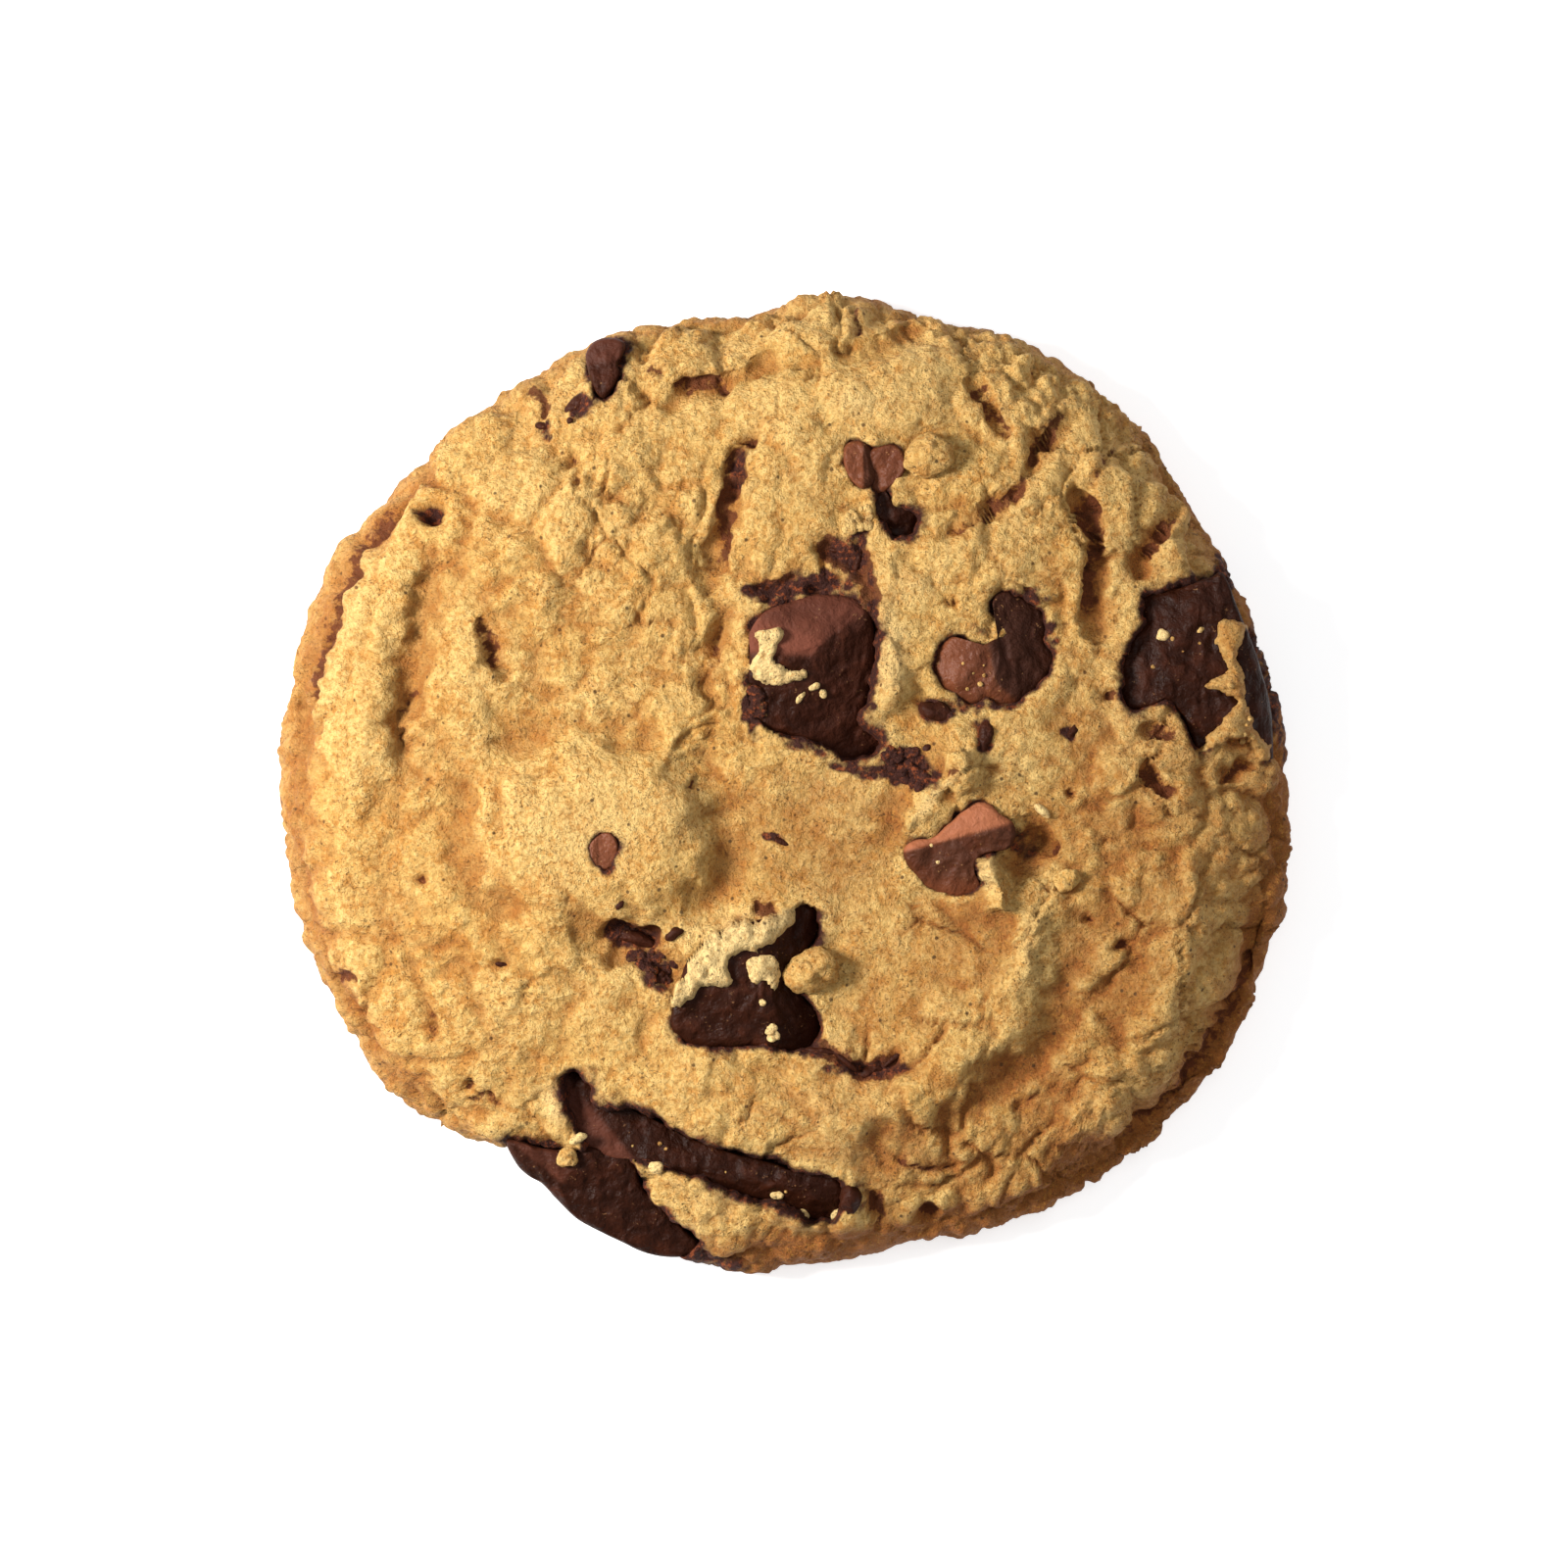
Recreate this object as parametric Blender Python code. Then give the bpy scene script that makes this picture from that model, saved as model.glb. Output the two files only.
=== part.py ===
"""A thick, hand-dropped cookie with broken dark chocolate chunks and milk chocolate chips.

The dough is one solid: a flat base, a rounded rim and a lumpy, folded top. Every chunk and chip is a solid
of its own, set in a pocket of the dough with a hair of clearance. Lengths in the tables are millimetres.
"""

import math
import random

import bmesh
import bpy
import numpy as np
from mathutils import Euler

MM = 0.001

# Driving sizes of the dough, in millimetres.
CROWN = 11.6  # height of the smooth dome in the middle, before its lumps
SHOULDER = 8.2  # height that the dome falls to near the rim
EQUATOR = 2.6  # height at which the rim is widest
RIM_POWER = 12.0  # higher is a tighter rim
UNDERCUTS = ((0.988, 0.9), (0.962, 0.0))  # (share of the rim's radius, height) of the rings under the rim
TOP_CELLS = 48  # cells across the top's grid
CLEARANCE = 0.35  # gap round each piece of chocolate

# The rim seen from above, anticlockwise from +X. It is far from round, with a nick at the lower left.
RIM = [
    (45.6, -3), (44.5, 8), (41.0, 17), (36.8, 25.5), (30.2, 34), (21.5, 40), (12.5, 42.6), (4.6, 44.2),
    (-4, 42.2), (-15, 40.4), (-25, 35.3), (-33.5, 28.4), (-39.5, 21), (-43.6, 12), (-45.5, 2), (-44.6, -9),
    (-41, -19), (-35.5, -27.6), (-29, -31.6), (-23, -33.2), (-17.5, -36.8), (-12, -40.9), (-6, -43.8),
    (3, -43.3), (13, -41.2), (22.5, -38.9), (31.5, -33.4), (38.8, -26), (43.3, -17),
]

# Lumps and folds of the dough: x, y, half length, half width, turn in degrees, height (below 0 is a hollow).
LUMPS = {
    "left shoulder": (-38.6, 9, 15, 3.4, 86, 1.7),
    "left groove": (-33.2, 8, 13, 2.0, 88, -1.0),
    "left knuckle": (-28.4, 9, 6.5, 4.0, 80, 1.3),
    "upper left field": (-20, 22, 13, 9, 20, 1.0),
    "left dome": (-17.5, -5, 11, 9, 0, 2.2),
    "gap under the left dome": (-13, -15.5, 6, 2.2, -25, -1.8),
    "middle groove": (-5.2, 17, 15, 2.4, 88, -1.5),
    "upper dome": (0, 27.5, 7.5, 4.6, 90, 1.3),
    "top dome": (9, 35, 6.5, 4.5, 10, 1.4),
    "top right plate": (21.5, 35, 5.5, 4.5, 0, 0.9),
    "right plate": (20, 21.5, 8.5, 5.5, 8, 1.2),
    "upper right shoulder": (31.5, 26, 6, 4, -45, 1.0),
    "lump over the right chunk": (36, 20, 3.6, 3, -50, 1.2),
    "plate under the right chunk": (33.5, 1.5, 4.5, 3.4, 0, 0.9),
    "middle ridge": (9.6, 13, 9, 2.2, 90, 1.3),
    "ridge by the low chip": (13, -1.6, 7, 2.0, 50, 1.4),
    "tongue by the low chip": (18.8, -9.6, 3.6, 2.0, 110, 1.3),
    "smooth basin": (8, -14, 11, 8, 20, -1.3),
    "long fold, upper": (22.4, -13, 7, 2.6, 75, 1.5),
    "long fold, middle": (18, -22.5, 7, 2.8, 50, 1.5),
    "long fold, lower": (7, -28.5, 9, 3.2, 12, 1.2),
    "right fold": (36, -11, 8, 3.2, 80, 1.1),
    "lower right fold": (30.5, -27, 8, 3.2, 46, 1.1),
    "lower lip": (-6, -28.5, 9, 3.6, -18, 1.2),
    "lower left field": (-30, -18, 9, 8, 0, 0.7),
    "knob by the top chips": (12.2, 29.3, 2.6, 2.4, 0, 1.5),
    "knob by the lower chunk": (3.0, -16.6, 2.6, 2.4, 0, 1.7),
}

# Hollows that bare the chocolate: x, y, half length, half width, turn, height of the hollow's floor.
HOLLOWS = {
    "centre": (2.6, 9.2, 8.0, 6.6, 84, 8.6),
    "right": (35.8, 10.6, 8.2, 6.6, 95, 5.8),
    "rim beside the right chunk": (43.5, 9.5, 9.0, 3.6, 100, 3.0),
    "lower": (-3.0, -18.6, 7.2, 6.2, 4, 8.2),
    "bar": (-5.2, -34.4, 11.5, 3.4, -17, 4.4),
    "edge": (-18.2, -36.0, 8.8, 4.4, -34, 2.4),
    "middle chip": (18.9, 10.9, 5.4, 4.4, 10, 7.8),
    "low chip": (15.2, -6.0, 5.0, 4.6, 30, 8.0),
    "top chips": (8.0, 28.0, 3.6, 3.2, 0, 7.4),
    "top chunk": (10.0, 24.2, 3.0, 2.4, -50, 7.2),
    "buried chip": (-15.9, -5.9, 2.6, 2.6, 0, 11.3),
    "upper left chunk": (-15.8, 37.2, 3.2, 2.4, 75, 5.6),
}

# Broken chunks of dark chocolate: centre, length, width and thickness, turns about X, Y and Z in degrees.
CHUNKS = {
    "chunk_centre": ((2.6, 9.4, 7.4), (10.6, 11.8, 6.6), (11, -4, -7)),
    "chunk_right": ((36.4, 10.6, 5.7), (11.2, 12.4, 5.6), (-4, 9, 8)),
    "chunk_lower": ((-3.2, -17.6, 7.2), (11.4, 10.2, 6.2), (12, 2, 4)),
    "chunk_bar": ((-5.0, -34.2, 4.6), (17.6, 4.6, 4.2), (16, 4, -17)),
    "chunk_edge": ((-17.9, -35.1, 4.3), (13.6, 6.4, 3.8), (16, 3, -35)),
    "chunk_top": ((10.1, 23.7, 6.4), (4.2, 3.2, 3.0), (6, 0, -48)),
    "chunk_upper_left": ((-15.8, 37.2, 5.2), (4.4, 2.8, 3.0), (-8, 0, 72)),
}
CORNER_SPREAD = 0.09  # how far a chunk's corners stray, as a share of its size
CHUNK_BEVEL = 0.11  # rounding of a chunk's edges, as a share of its thickness

# Milk chocolate chips: centre of the flat foot, foot radius, height, turns about X, Y and Z in degrees.
CHIPS = {
    "chip_middle": ((18.6, 10.6, 5.6), 4.4, 4.4, (8, -10, 0)),
    "chip_low": ((15.3, -6.0, 6.0), 4.2, 4.2, (6, -8, 25)),
    "chip_top_left": ((6.0, 28.3, 6.1), 1.5, 3.2, (4, -10, 0)),
    "chip_top_right": ((9.5, 28.1, 5.8), 1.5, 3.2, (-4, 8, 0)),
    "chip_left": ((-15.9, -5.9, 8.6), 3.0, 3.9, (3, 4, 0)),
}
CHIP_STEPS = 20  # sides of a chip
CHIP_PROFILE = ((1.0, 0.0), (1.04, 0.16), (0.97, 0.42), (0.76, 0.70), (0.45, 0.90), (0.16, 0.99))

COLOURS = {
    "baked_dough": ((0.66, 0.42, 0.17), 0.85),
    "dark_chocolate": ((0.055, 0.020, 0.012), 0.38),
    "milk_chocolate": ((0.19, 0.068, 0.032), 0.42),
}


def material(name):
    colour, roughness = COLOURS[name]
    made = bpy.data.materials.get(name) or bpy.data.materials.new(name)
    made.use_nodes = True
    shader = made.node_tree.nodes["Principled BSDF"]
    shader.inputs["Base Color"].default_value = (*colour, 1)
    shader.inputs["Roughness"].default_value = roughness
    shader.inputs["Metallic"].default_value = 0
    return made


def rim_radius(angle):
    """Distance from the middle to the rim at each angle: a smooth closed curve through the points of RIM."""
    x, y = np.array(RIM, float).T
    knots = np.arctan2(y, x)
    order = np.argsort(knots)
    knots, radii = knots[order], np.hypot(x, y)[order]
    knots = np.concatenate([knots - math.tau, knots, knots + math.tau])
    radii = np.tile(radii, 3)
    slopes = np.gradient(radii, knots)
    i = np.clip(np.searchsorted(knots, angle) - 1, 0, len(knots) - 2)
    span = knots[i + 1] - knots[i]
    t = (angle - knots[i]) / span
    return (
        radii[i] * (1 + 2 * t) * (1 - t) ** 2
        + radii[i + 1] * t**2 * (3 - 2 * t)
        + span * (slopes[i] * t * (1 - t) ** 2 - slopes[i + 1] * t**2 * (1 - t))
    )


def spot(x, y, centre_x, centre_y, long, wide, turn):
    """1 inside a turned oval, falling smoothly to 0 at about 1.5 times its size."""
    c, s = math.cos(math.radians(turn)), math.sin(math.radians(turn))
    along = ((x - centre_x) * c + (y - centre_y) * s) / long
    across = ((y - centre_y) * c - (x - centre_x) * s) / wide
    return np.exp(-((along**2 + across**2) ** 1.5))


def top_height(x, y, share):
    """Height of the dough's top, where share is the distance from the middle as a share of the rim's radius."""
    rounding = np.sqrt(np.clip(1 - share**RIM_POWER, 0, 1))
    dome = SHOULDER + (CROWN - SHOULDER) * (1 - share**2)
    lumps = sum(h * spot(x, y, *place) for *place, h in LUMPS.values())
    height = EQUATOR + (dome + lumps - EQUATOR) * rounding
    for *place, floor in HOLLOWS.values():
        depth = np.clip(height - floor, 0, None)
        height = height - depth * spot(x, y, *place) * np.clip(rounding * 2, 0, 1)
    return height


def grid_to_disc(a, b):
    """A square grid from -1 to 1 pulled into a disc, square ring by square ring. Returns share and angle."""
    flat = np.abs(a) > np.abs(b)
    ring = np.where(flat, a, b)
    safe = np.where(ring == 0, 1, ring)
    angle = np.where(flat, b / safe, 2 - a / safe) * math.pi / 4
    return np.abs(ring), np.where(ring < 0, angle + math.pi, angle)


def dough():
    """A grid pulled into the cookie's outline and lifted to its top, closed under the rim by two rings."""
    bm = bmesh.new()
    bmesh.ops.create_grid(bm, x_segments=TOP_CELLS, y_segments=TOP_CELLS, size=1)
    grid = np.array([v.co[:2] for v in bm.verts])
    ring, angle = grid_to_disc(*grid.T)
    share = np.sin(ring * math.pi / 2) ** 0.9  # closer rings towards the rim, where the top falls away
    angle = np.arctan2(np.sin(angle), np.cos(angle))
    radius = share * rim_radius(angle)
    x, y = radius * np.cos(angle), radius * np.sin(angle)
    for vert, place in zip(bm.verts, np.column_stack([x, y, top_height(x, y, share)])):
        vert.co = place * MM

    rim = [e for e in bm.edges if e.is_boundary]
    reach = 1.0
    for share_under, height in UNDERCUTS:
        made = bmesh.ops.extrude_edge_only(bm, edges=rim)["geom"]
        rim = [g for g in made if isinstance(g, bmesh.types.BMEdge) and g.is_boundary]
        for vert in {v for e in rim for v in e.verts}:
            vert.co.x *= share_under / reach
            vert.co.y *= share_under / reach
            vert.co.z = height * MM
        reach = share_under
    bmesh.ops.contextual_create(bm, geom=rim)
    bmesh.ops.triangulate(bm, faces=[f for f in bm.faces if len(f.verts) == 4])
    bmesh.ops.recalc_face_normals(bm, faces=bm.faces)
    return finish(bm, "dough", "baked_dough")


def finish(bm, name, slot):
    """The bmesh as a smooth-shaded object of that name and material."""
    mesh = bpy.data.meshes.new(name)
    bm.to_mesh(mesh)
    bm.free()
    mesh.materials.append(material(slot))
    mesh.shade_smooth()
    mesh.set_sharp_from_angle(angle=math.radians(50))
    obj = bpy.data.objects.new(name, mesh)
    bpy.context.collection.objects.link(obj)
    return obj


def place(obj, centre, turns):
    obj.location = [c * MM for c in centre]
    obj.rotation_euler = Euler([math.radians(t) for t in turns])
    return obj


def chunk_mesh(size, seed):
    """A block whose corners stray a little, as where a bar of chocolate was broken, with rounded edges."""
    bm = bmesh.new()
    bmesh.ops.create_cube(bm, size=1)
    stray = random.Random(seed)
    for vert in bm.verts:
        for axis in range(3):
            vert.co[axis] = (vert.co[axis] + stray.uniform(-1, 1) * CORNER_SPREAD) * size[axis] * MM
    bmesh.ops.bevel(
        bm, geom=bm.edges[:], offset=CHUNK_BEVEL * size[2] * MM, segments=2, profile=0.6, affect="EDGES"
    )
    bmesh.ops.triangulate(bm, faces=bm.faces)
    bmesh.ops.recalc_face_normals(bm, faces=bm.faces)
    return bm


def chip_mesh(radius, height):
    """A chip as it is dropped on a belt: a flat foot, a bulging side and a blunt tip, turned about its axis."""
    bm = bmesh.new()
    profile = [bm.verts.new((r * radius * MM, 0, h * height * MM)) for r, h in CHIP_PROFILE]
    edges = [bm.edges.new(pair) for pair in zip(profile, profile[1:])]
    bmesh.ops.spin(
        bm, geom=profile + edges, cent=(0, 0, 0), axis=(0, 0, 1), angle=math.tau, steps=CHIP_STEPS, use_duplicate=False
    )
    bmesh.ops.remove_doubles(bm, verts=bm.verts, dist=0.01 * MM)
    bmesh.ops.holes_fill(bm, edges=[e for e in bm.edges if e.is_boundary])
    bmesh.ops.triangulate(bm, faces=bm.faces)
    bmesh.ops.recalc_face_normals(bm, faces=bm.faces)
    return bm


def cut_pocket(body, piece):
    """Cuts the dough by a copy of the piece that is larger by the clearance on every side."""
    cutter = piece.copy()
    cutter.name = piece.name + "_pocket"
    cutter.data = piece.data.copy()
    bpy.context.collection.objects.link(cutter)
    low = np.array(piece.bound_box).min(axis=0)
    high = np.array(piece.bound_box).max(axis=0)
    middle, half = (low + high) / 2, (high - low) / 2
    grow = 1 + CLEARANCE * MM / half
    for vert in cutter.data.vertices:
        vert.co = middle + (np.array(vert.co) - middle) * grow
    cutter.hide_render = True
    cutter.display_type = "WIRE"
    cut = body.modifiers.new(cutter.name, "BOOLEAN")
    cut.operation = "DIFFERENCE"
    cut.object = cutter


def main():
    for obj in list(bpy.data.objects):
        bpy.data.objects.remove(obj)
    body = dough()
    for seed, (name, (centre, size, turns)) in enumerate(CHUNKS.items()):
        piece = place(finish(chunk_mesh(size, seed), name, "dark_chocolate"), centre, turns)
        cut_pocket(body, piece)
    for name, (centre, radius, height, turns) in CHIPS.items():
        piece = place(finish(chip_mesh(radius, height), name, "milk_chocolate"), centre, turns)
        cut_pocket(body, piece)


main()
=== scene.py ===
import math

import bpy
import numpy as np
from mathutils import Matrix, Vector


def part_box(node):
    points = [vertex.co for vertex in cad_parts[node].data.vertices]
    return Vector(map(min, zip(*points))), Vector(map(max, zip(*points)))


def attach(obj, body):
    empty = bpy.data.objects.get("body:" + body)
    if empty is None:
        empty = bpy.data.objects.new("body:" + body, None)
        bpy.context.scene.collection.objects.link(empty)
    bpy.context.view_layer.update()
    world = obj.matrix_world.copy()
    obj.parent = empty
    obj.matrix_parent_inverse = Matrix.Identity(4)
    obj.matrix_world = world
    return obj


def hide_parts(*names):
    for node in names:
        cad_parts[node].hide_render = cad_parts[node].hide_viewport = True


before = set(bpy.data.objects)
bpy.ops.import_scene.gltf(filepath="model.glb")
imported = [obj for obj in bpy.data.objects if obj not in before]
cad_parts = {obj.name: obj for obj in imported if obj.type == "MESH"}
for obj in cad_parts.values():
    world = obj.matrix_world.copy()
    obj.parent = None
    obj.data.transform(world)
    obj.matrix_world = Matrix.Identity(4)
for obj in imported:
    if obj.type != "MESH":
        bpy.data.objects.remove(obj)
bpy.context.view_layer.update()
mm = 0.001  # every size below is in millimetres until a mesh is made
print("frame:", len(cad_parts), "nodes")


# numbers on a surface

def smooth(x, low, high):
    # 0 below low, 1 above high, an S curve between
    t = np.clip((x - low) / (high - low), 0, 1)
    return t * t * (3 - 2 * t)


def mixed(a, b, share):
    return a + (b - a) * share


def scrambled(i, j, k, seed):
    # whole numbers scrambled by multiplying and shifting, then brought to 0..1
    h = (i * 374761393 + j * 668265263 + k * 1440662683 + seed * 974634777) & 0xFFFFFFFF
    h = ((h ^ (h >> 13)) * 1274126177) & 0xFFFFFFFF
    h = ((h ^ (h >> 16)) * 2246822519) & 0xFFFFFFFF
    return ((h ^ (h >> 15)) & 0xFFFFFF) / 0xFFFFFF


def noise(p, size, seed=0):
    # random slopes at the corners of a lattice of that size, blended smoothly between them: about -1..1
    q = p / size
    corner = np.floor(q).astype(np.int64)
    f = q - corner
    ease = f * f * f * (f * (f * 6 - 15) + 10)
    total = 0
    for corners in np.ndindex(2, 2, 2):
        place = [corner[..., axis] + d for axis, d in enumerate(corners)]
        weight, slope = 1, 0
        for axis, d in enumerate(corners):
            weight = weight * (ease[..., axis] if d else 1 - ease[..., axis])
            slope = slope + (scrambled(*place, seed + 50 * axis) * 2 - 1) * (f[..., axis] - d)
        total = total + weight * slope
    return total * 1.7


turned = np.array([[0.36, 0.48, -0.8], [-0.8, 0.6, 0.0], [0.48, 0.64, 0.6]])  # keeps octaves' lattices apart


def cloud(p, size, octaves=4, seed=0, rough=0.5):
    # octaves of noise, each half the size and rough times the height of the one before
    total, height, whole = 0, 1.0, 0.0
    for octave in range(octaves):
        total = total + height * noise(p, size, seed + octave)
        whole += height
        p = p @ turned.T + 17.3
        size, height = size / 2, height * rough
    return total / whole


def cells(p, size, seed=0):
    # distances to the nearest and the second nearest of random points, one in each cube of that size
    q = p / size
    home = np.floor(q).astype(np.int64)
    first = np.full(q.shape[:-1], 9.0)
    second = np.full(q.shape[:-1], 9.0)
    own = np.zeros(q.shape[:-1])
    for dx in (-1, 0, 1):
        for dy in (-1, 0, 1):
            for dz in (-1, 0, 1):
                i, j, k = home[..., 0] + dx, home[..., 1] + dy, home[..., 2] + dz
                away = sum(
                    (c + scrambled(i, j, k, seed + 7 * axis) - q[..., axis]) ** 2
                    for axis, c in enumerate((i, j, k))
                )
                away = np.sqrt(away)
                closer = away < first
                second = np.where(closer, first, np.minimum(second, away))
                own = np.where(closer, scrambled(i, j, k, seed + 99), own)
                first = np.where(closer, away, first)
    return first, second, own


def throughPoints(points, closed=False, steps=6):
    # a curve through every point whose direction at each one is that from its neighbour before to the next
    p = np.array(points, float)
    if closed:
        before, after, ahead = np.roll(p, 1, 0), np.roll(p, -1, 0), np.roll(p, -2, 0)
    else:
        before = np.vstack([2 * p[:1] - p[1:2], p[:-2]])
        after = p[1:]
        ahead = np.vstack([p[2:], 2 * p[-1:] - p[-2:-1]])
        p = p[:-1]
    t = (np.arange(steps) / steps)[None, :, None]
    a, b, c, d = (q[:, None, :] for q in (before, p, after, ahead))
    curve = 0.5 * (
        2 * b + (c - a) * t + (2 * a - 5 * b + 4 * c - d) * t**2 + (3 * b - a - 3 * c + d) * t**3
    )
    curve = curve.reshape(-1, p.shape[1])
    return curve if closed else np.vstack([curve, after[-1:]])


def toLine(x, y, line, reach=8.0):
    # distance from each point to a line of short stretches, its side of it, and how far along it lies, 0..1
    far = np.full(x.shape, 99.0)
    side = np.ones(x.shape)
    along = np.zeros(x.shape)
    low, high = line.min(0) - reach, line.max(0) + reach
    near = (x > low[0]) & (x < high[0]) & (y > low[1]) & (y < high[1])
    px, py = x[near], y[near]
    best, bestSide, bestAlong = far[near], side[near], along[near]
    count = len(line) - 1
    for k in range(count):
        ax, ay = line[k]
        dx, dy = line[k + 1] - line[k]
        t = np.clip(((px - ax) * dx + (py - ay) * dy) / max(dx * dx + dy * dy, 1e-9), 0, 1)
        gap = np.hypot(px - ax - t * dx, py - ay - t * dy)
        closer = gap < best
        best = np.where(closer, gap, best)
        bestSide = np.where(closer, np.sign(dx * (py - ay) - dy * (px - ax)), bestSide)
        bestAlong = np.where(closer, (k + t) / count, bestAlong)
    far[near], side[near], along[near] = best, bestSide, bestAlong
    return far, side, along


def toOutline(x, y, outline, reach=8.0):
    # distance to a closed line, negative inside it
    loop = np.vstack([outline, outline[:1]])
    far, _, _ = toLine(x, y, loop, reach)
    low, high = outline.min(0), outline.max(0)
    near = (x > low[0]) & (x < high[0]) & (y > low[1]) & (y < high[1])
    px, py = x[near], y[near]
    inside = np.zeros(px.shape, bool)
    for (ax, ay), (bx, by) in zip(loop[:-1], loop[1:]):
        crosses = (ay > py) != (by > py)
        inside ^= crosses & (px < (bx - ax) * (py - ay) / (by - ay if by != ay else 1e-9) + ax)
    result = far.copy()
    result[near] = np.where(inside, -far[near], far[near])
    return result


def spot(x, y, centreX, centreY, long, wide, turn):
    # 1 inside a turned oval, falling smoothly to 0 at about 1.5 times its size
    c, s = math.cos(math.radians(turn)), math.sin(math.radians(turn))
    along = ((x - centreX) * c + (y - centreY) * s) / long
    across = ((y - centreY) * c - (x - centreX) * s) / wide
    return np.exp(-((along**2 + across**2) ** 1.5))


# meshes

def makeMesh(name, points, quads, tris, material, slot, replaced=(), **attributes):
    points = np.asarray(points, float).reshape(-1, 3)
    quads, tris = np.asarray(quads, int).reshape(-1, 4), np.asarray(tris, int).reshape(-1, 3)
    mesh = bpy.data.meshes.new(name)
    mesh.vertices.add(len(points))
    mesh.vertices.foreach_set("co", (points * mm).astype(np.float32).ravel())
    corners = np.concatenate([quads.ravel(), tris.ravel()]).astype(np.int32)
    mesh.loops.add(len(corners))
    mesh.loops.foreach_set("vertex_index", corners)
    starts = np.concatenate([np.arange(len(quads)) * 4, 4 * len(quads) + np.arange(len(tris)) * 3])
    mesh.polygons.add(len(starts))
    mesh.polygons.foreach_set("loop_start", starts.astype(np.int32))
    mesh.update(calc_edges=True)
    mesh.validate()
    mesh.shade_smooth()
    for key, values in attributes.items():
        layer = mesh.attributes.new(key, "FLOAT", "POINT")
        layer.data.foreach_set("value", np.asarray(values, np.float32).ravel())
    mesh.materials.append(material)
    piece = bpy.data.objects.new(name, mesh)
    bpy.context.scene.collection.objects.link(piece)
    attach(piece, "root")
    if replaced:
        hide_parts(*replaced)
    print(name, len(quads) * 2 + len(tris), "triangles")
    return piece


def bandQuads(rings, steps, first=0):
    # quads between closed rings of points laid one after another
    r = np.arange(rings - 1)[:, None] * steps
    s = np.arange(steps)[None, :]
    n = (s + 1) % steps
    return first + np.stack([r + s, r + steps + s, r + steps + n, r + n], -1).reshape(-1, 4)


# shaders

class Wire:
    # one output of a shader tree: arithmetic on it adds Math nodes
    def __init__(self, tree, socket):
        self.tree, self.socket = tree, socket

    def maths(self, operation, *values):
        return self.tree.node("ShaderNodeMath", {"operation": operation}, dict(enumerate(values)))

    def __add__(self, other):
        return self.maths("ADD", self, other)

    def __sub__(self, other):
        return self.maths("SUBTRACT", self, other)

    def __rsub__(self, other):
        return self.maths("SUBTRACT", other, self)

    def __mul__(self, other):
        return self.maths("MULTIPLY", self, other)

    __radd__, __rmul__ = __add__, __mul__

    def between(self, low, high):
        # 0 at low and 1 at high, clamped and eased
        inputs = {"Value": self, "From Min": low, "From Max": high}
        return self.tree.node("ShaderNodeMapRange", {"interpolation_type": "SMOOTHSTEP"}, inputs)

    def clamped(self):
        return self.tree.node("ShaderNodeClamp", {}, {"Value": self})


class Tree:
    def __init__(self, name):
        self.material = bpy.data.materials.new(name)
        self.material.use_nodes = True
        self.nodes, self.links = self.material.node_tree.nodes, self.material.node_tree.links
        self.shader = self.nodes["Principled BSDF"]
        self.place = self.node("ShaderNodeTexCoord", {}, {}, "Object")

    def put(self, socket, value):
        if isinstance(value, Wire):
            self.links.new(value.socket, socket)
        elif isinstance(value, tuple) and socket.type == "RGBA":
            socket.default_value = (*value, 1)
        else:
            socket.default_value = value

    def node(self, kind, settings, inputs, output=0):
        made = self.nodes.new(kind)
        for key, value in settings.items():
            setattr(made, key, value)
        for key, value in inputs.items():
            self.put(made.inputs[key], value)
        return Wire(self, made.outputs[output])

    def attribute(self, name):
        return self.node("ShaderNodeAttribute", {"attribute_name": name}, {}, "Fac")

    def noise(self, size, detail=3.0, rough=0.55, stretch=0.0):
        inputs = {
            "Vector": self.place, "Scale": 1 / (size * mm),
            "Detail": detail, "Roughness": rough, "Distortion": stretch,
        }
        return self.node("ShaderNodeTexNoise", {}, inputs, "Fac")

    def cells(self, size, output="Distance"):
        inputs = {"Vector": self.place, "Scale": 1 / (size * mm), "Randomness": 1.0}
        return self.node("ShaderNodeTexVoronoi", {}, inputs, output)

    def blend(self, share, first, second):
        # the node's colour sockets are its seventh and eighth, and its colour output the third
        settings = {"data_type": "RGBA", "clamp_factor": True}
        return self.node("ShaderNodeMix", settings, {0: share, 6: first, 7: second}, 2)

    def bump(self, height, distance, strength=1.0, under=None):
        inputs = {"Height": height, "Distance": distance * mm, "Strength": strength}
        if under:
            inputs["Normal"] = under
        return self.node("ShaderNodeBump", {}, inputs, "Normal")

    def finish(self, colour, roughness, normal):
        for name, value in (("Base Color", colour), ("Roughness", roughness), ("Normal", normal)):
            self.put(self.shader.inputs[name], value)
        return self.material


def paint(red, green, blue):
    # a colour as it is picked on a screen, 0 to 255, made linear for the shader
    shares = [c / 255 for c in (red, green, blue)]
    return tuple(c / 12.92 if c <= 0.04045 else ((c + 0.055) / 1.055) ** 2.4 for c in shares)


# baked crust

crustLook = {
    "golden": paint(201, 158, 86),
    "pale": paint(224, 190, 122),
    "amber": paint(190, 132, 56),
    "toasted": paint(146, 88, 36),
    "singed": paint(158, 92, 34),
    "crack": paint(92, 42, 16),
    "shade": paint(138, 97, 46),
    "pore": paint(66, 44, 20),
    "stain": paint(58, 24, 14),
    "redCrumb": paint(128, 62, 28),
    "cream": paint(236, 205, 142),
}


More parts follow.
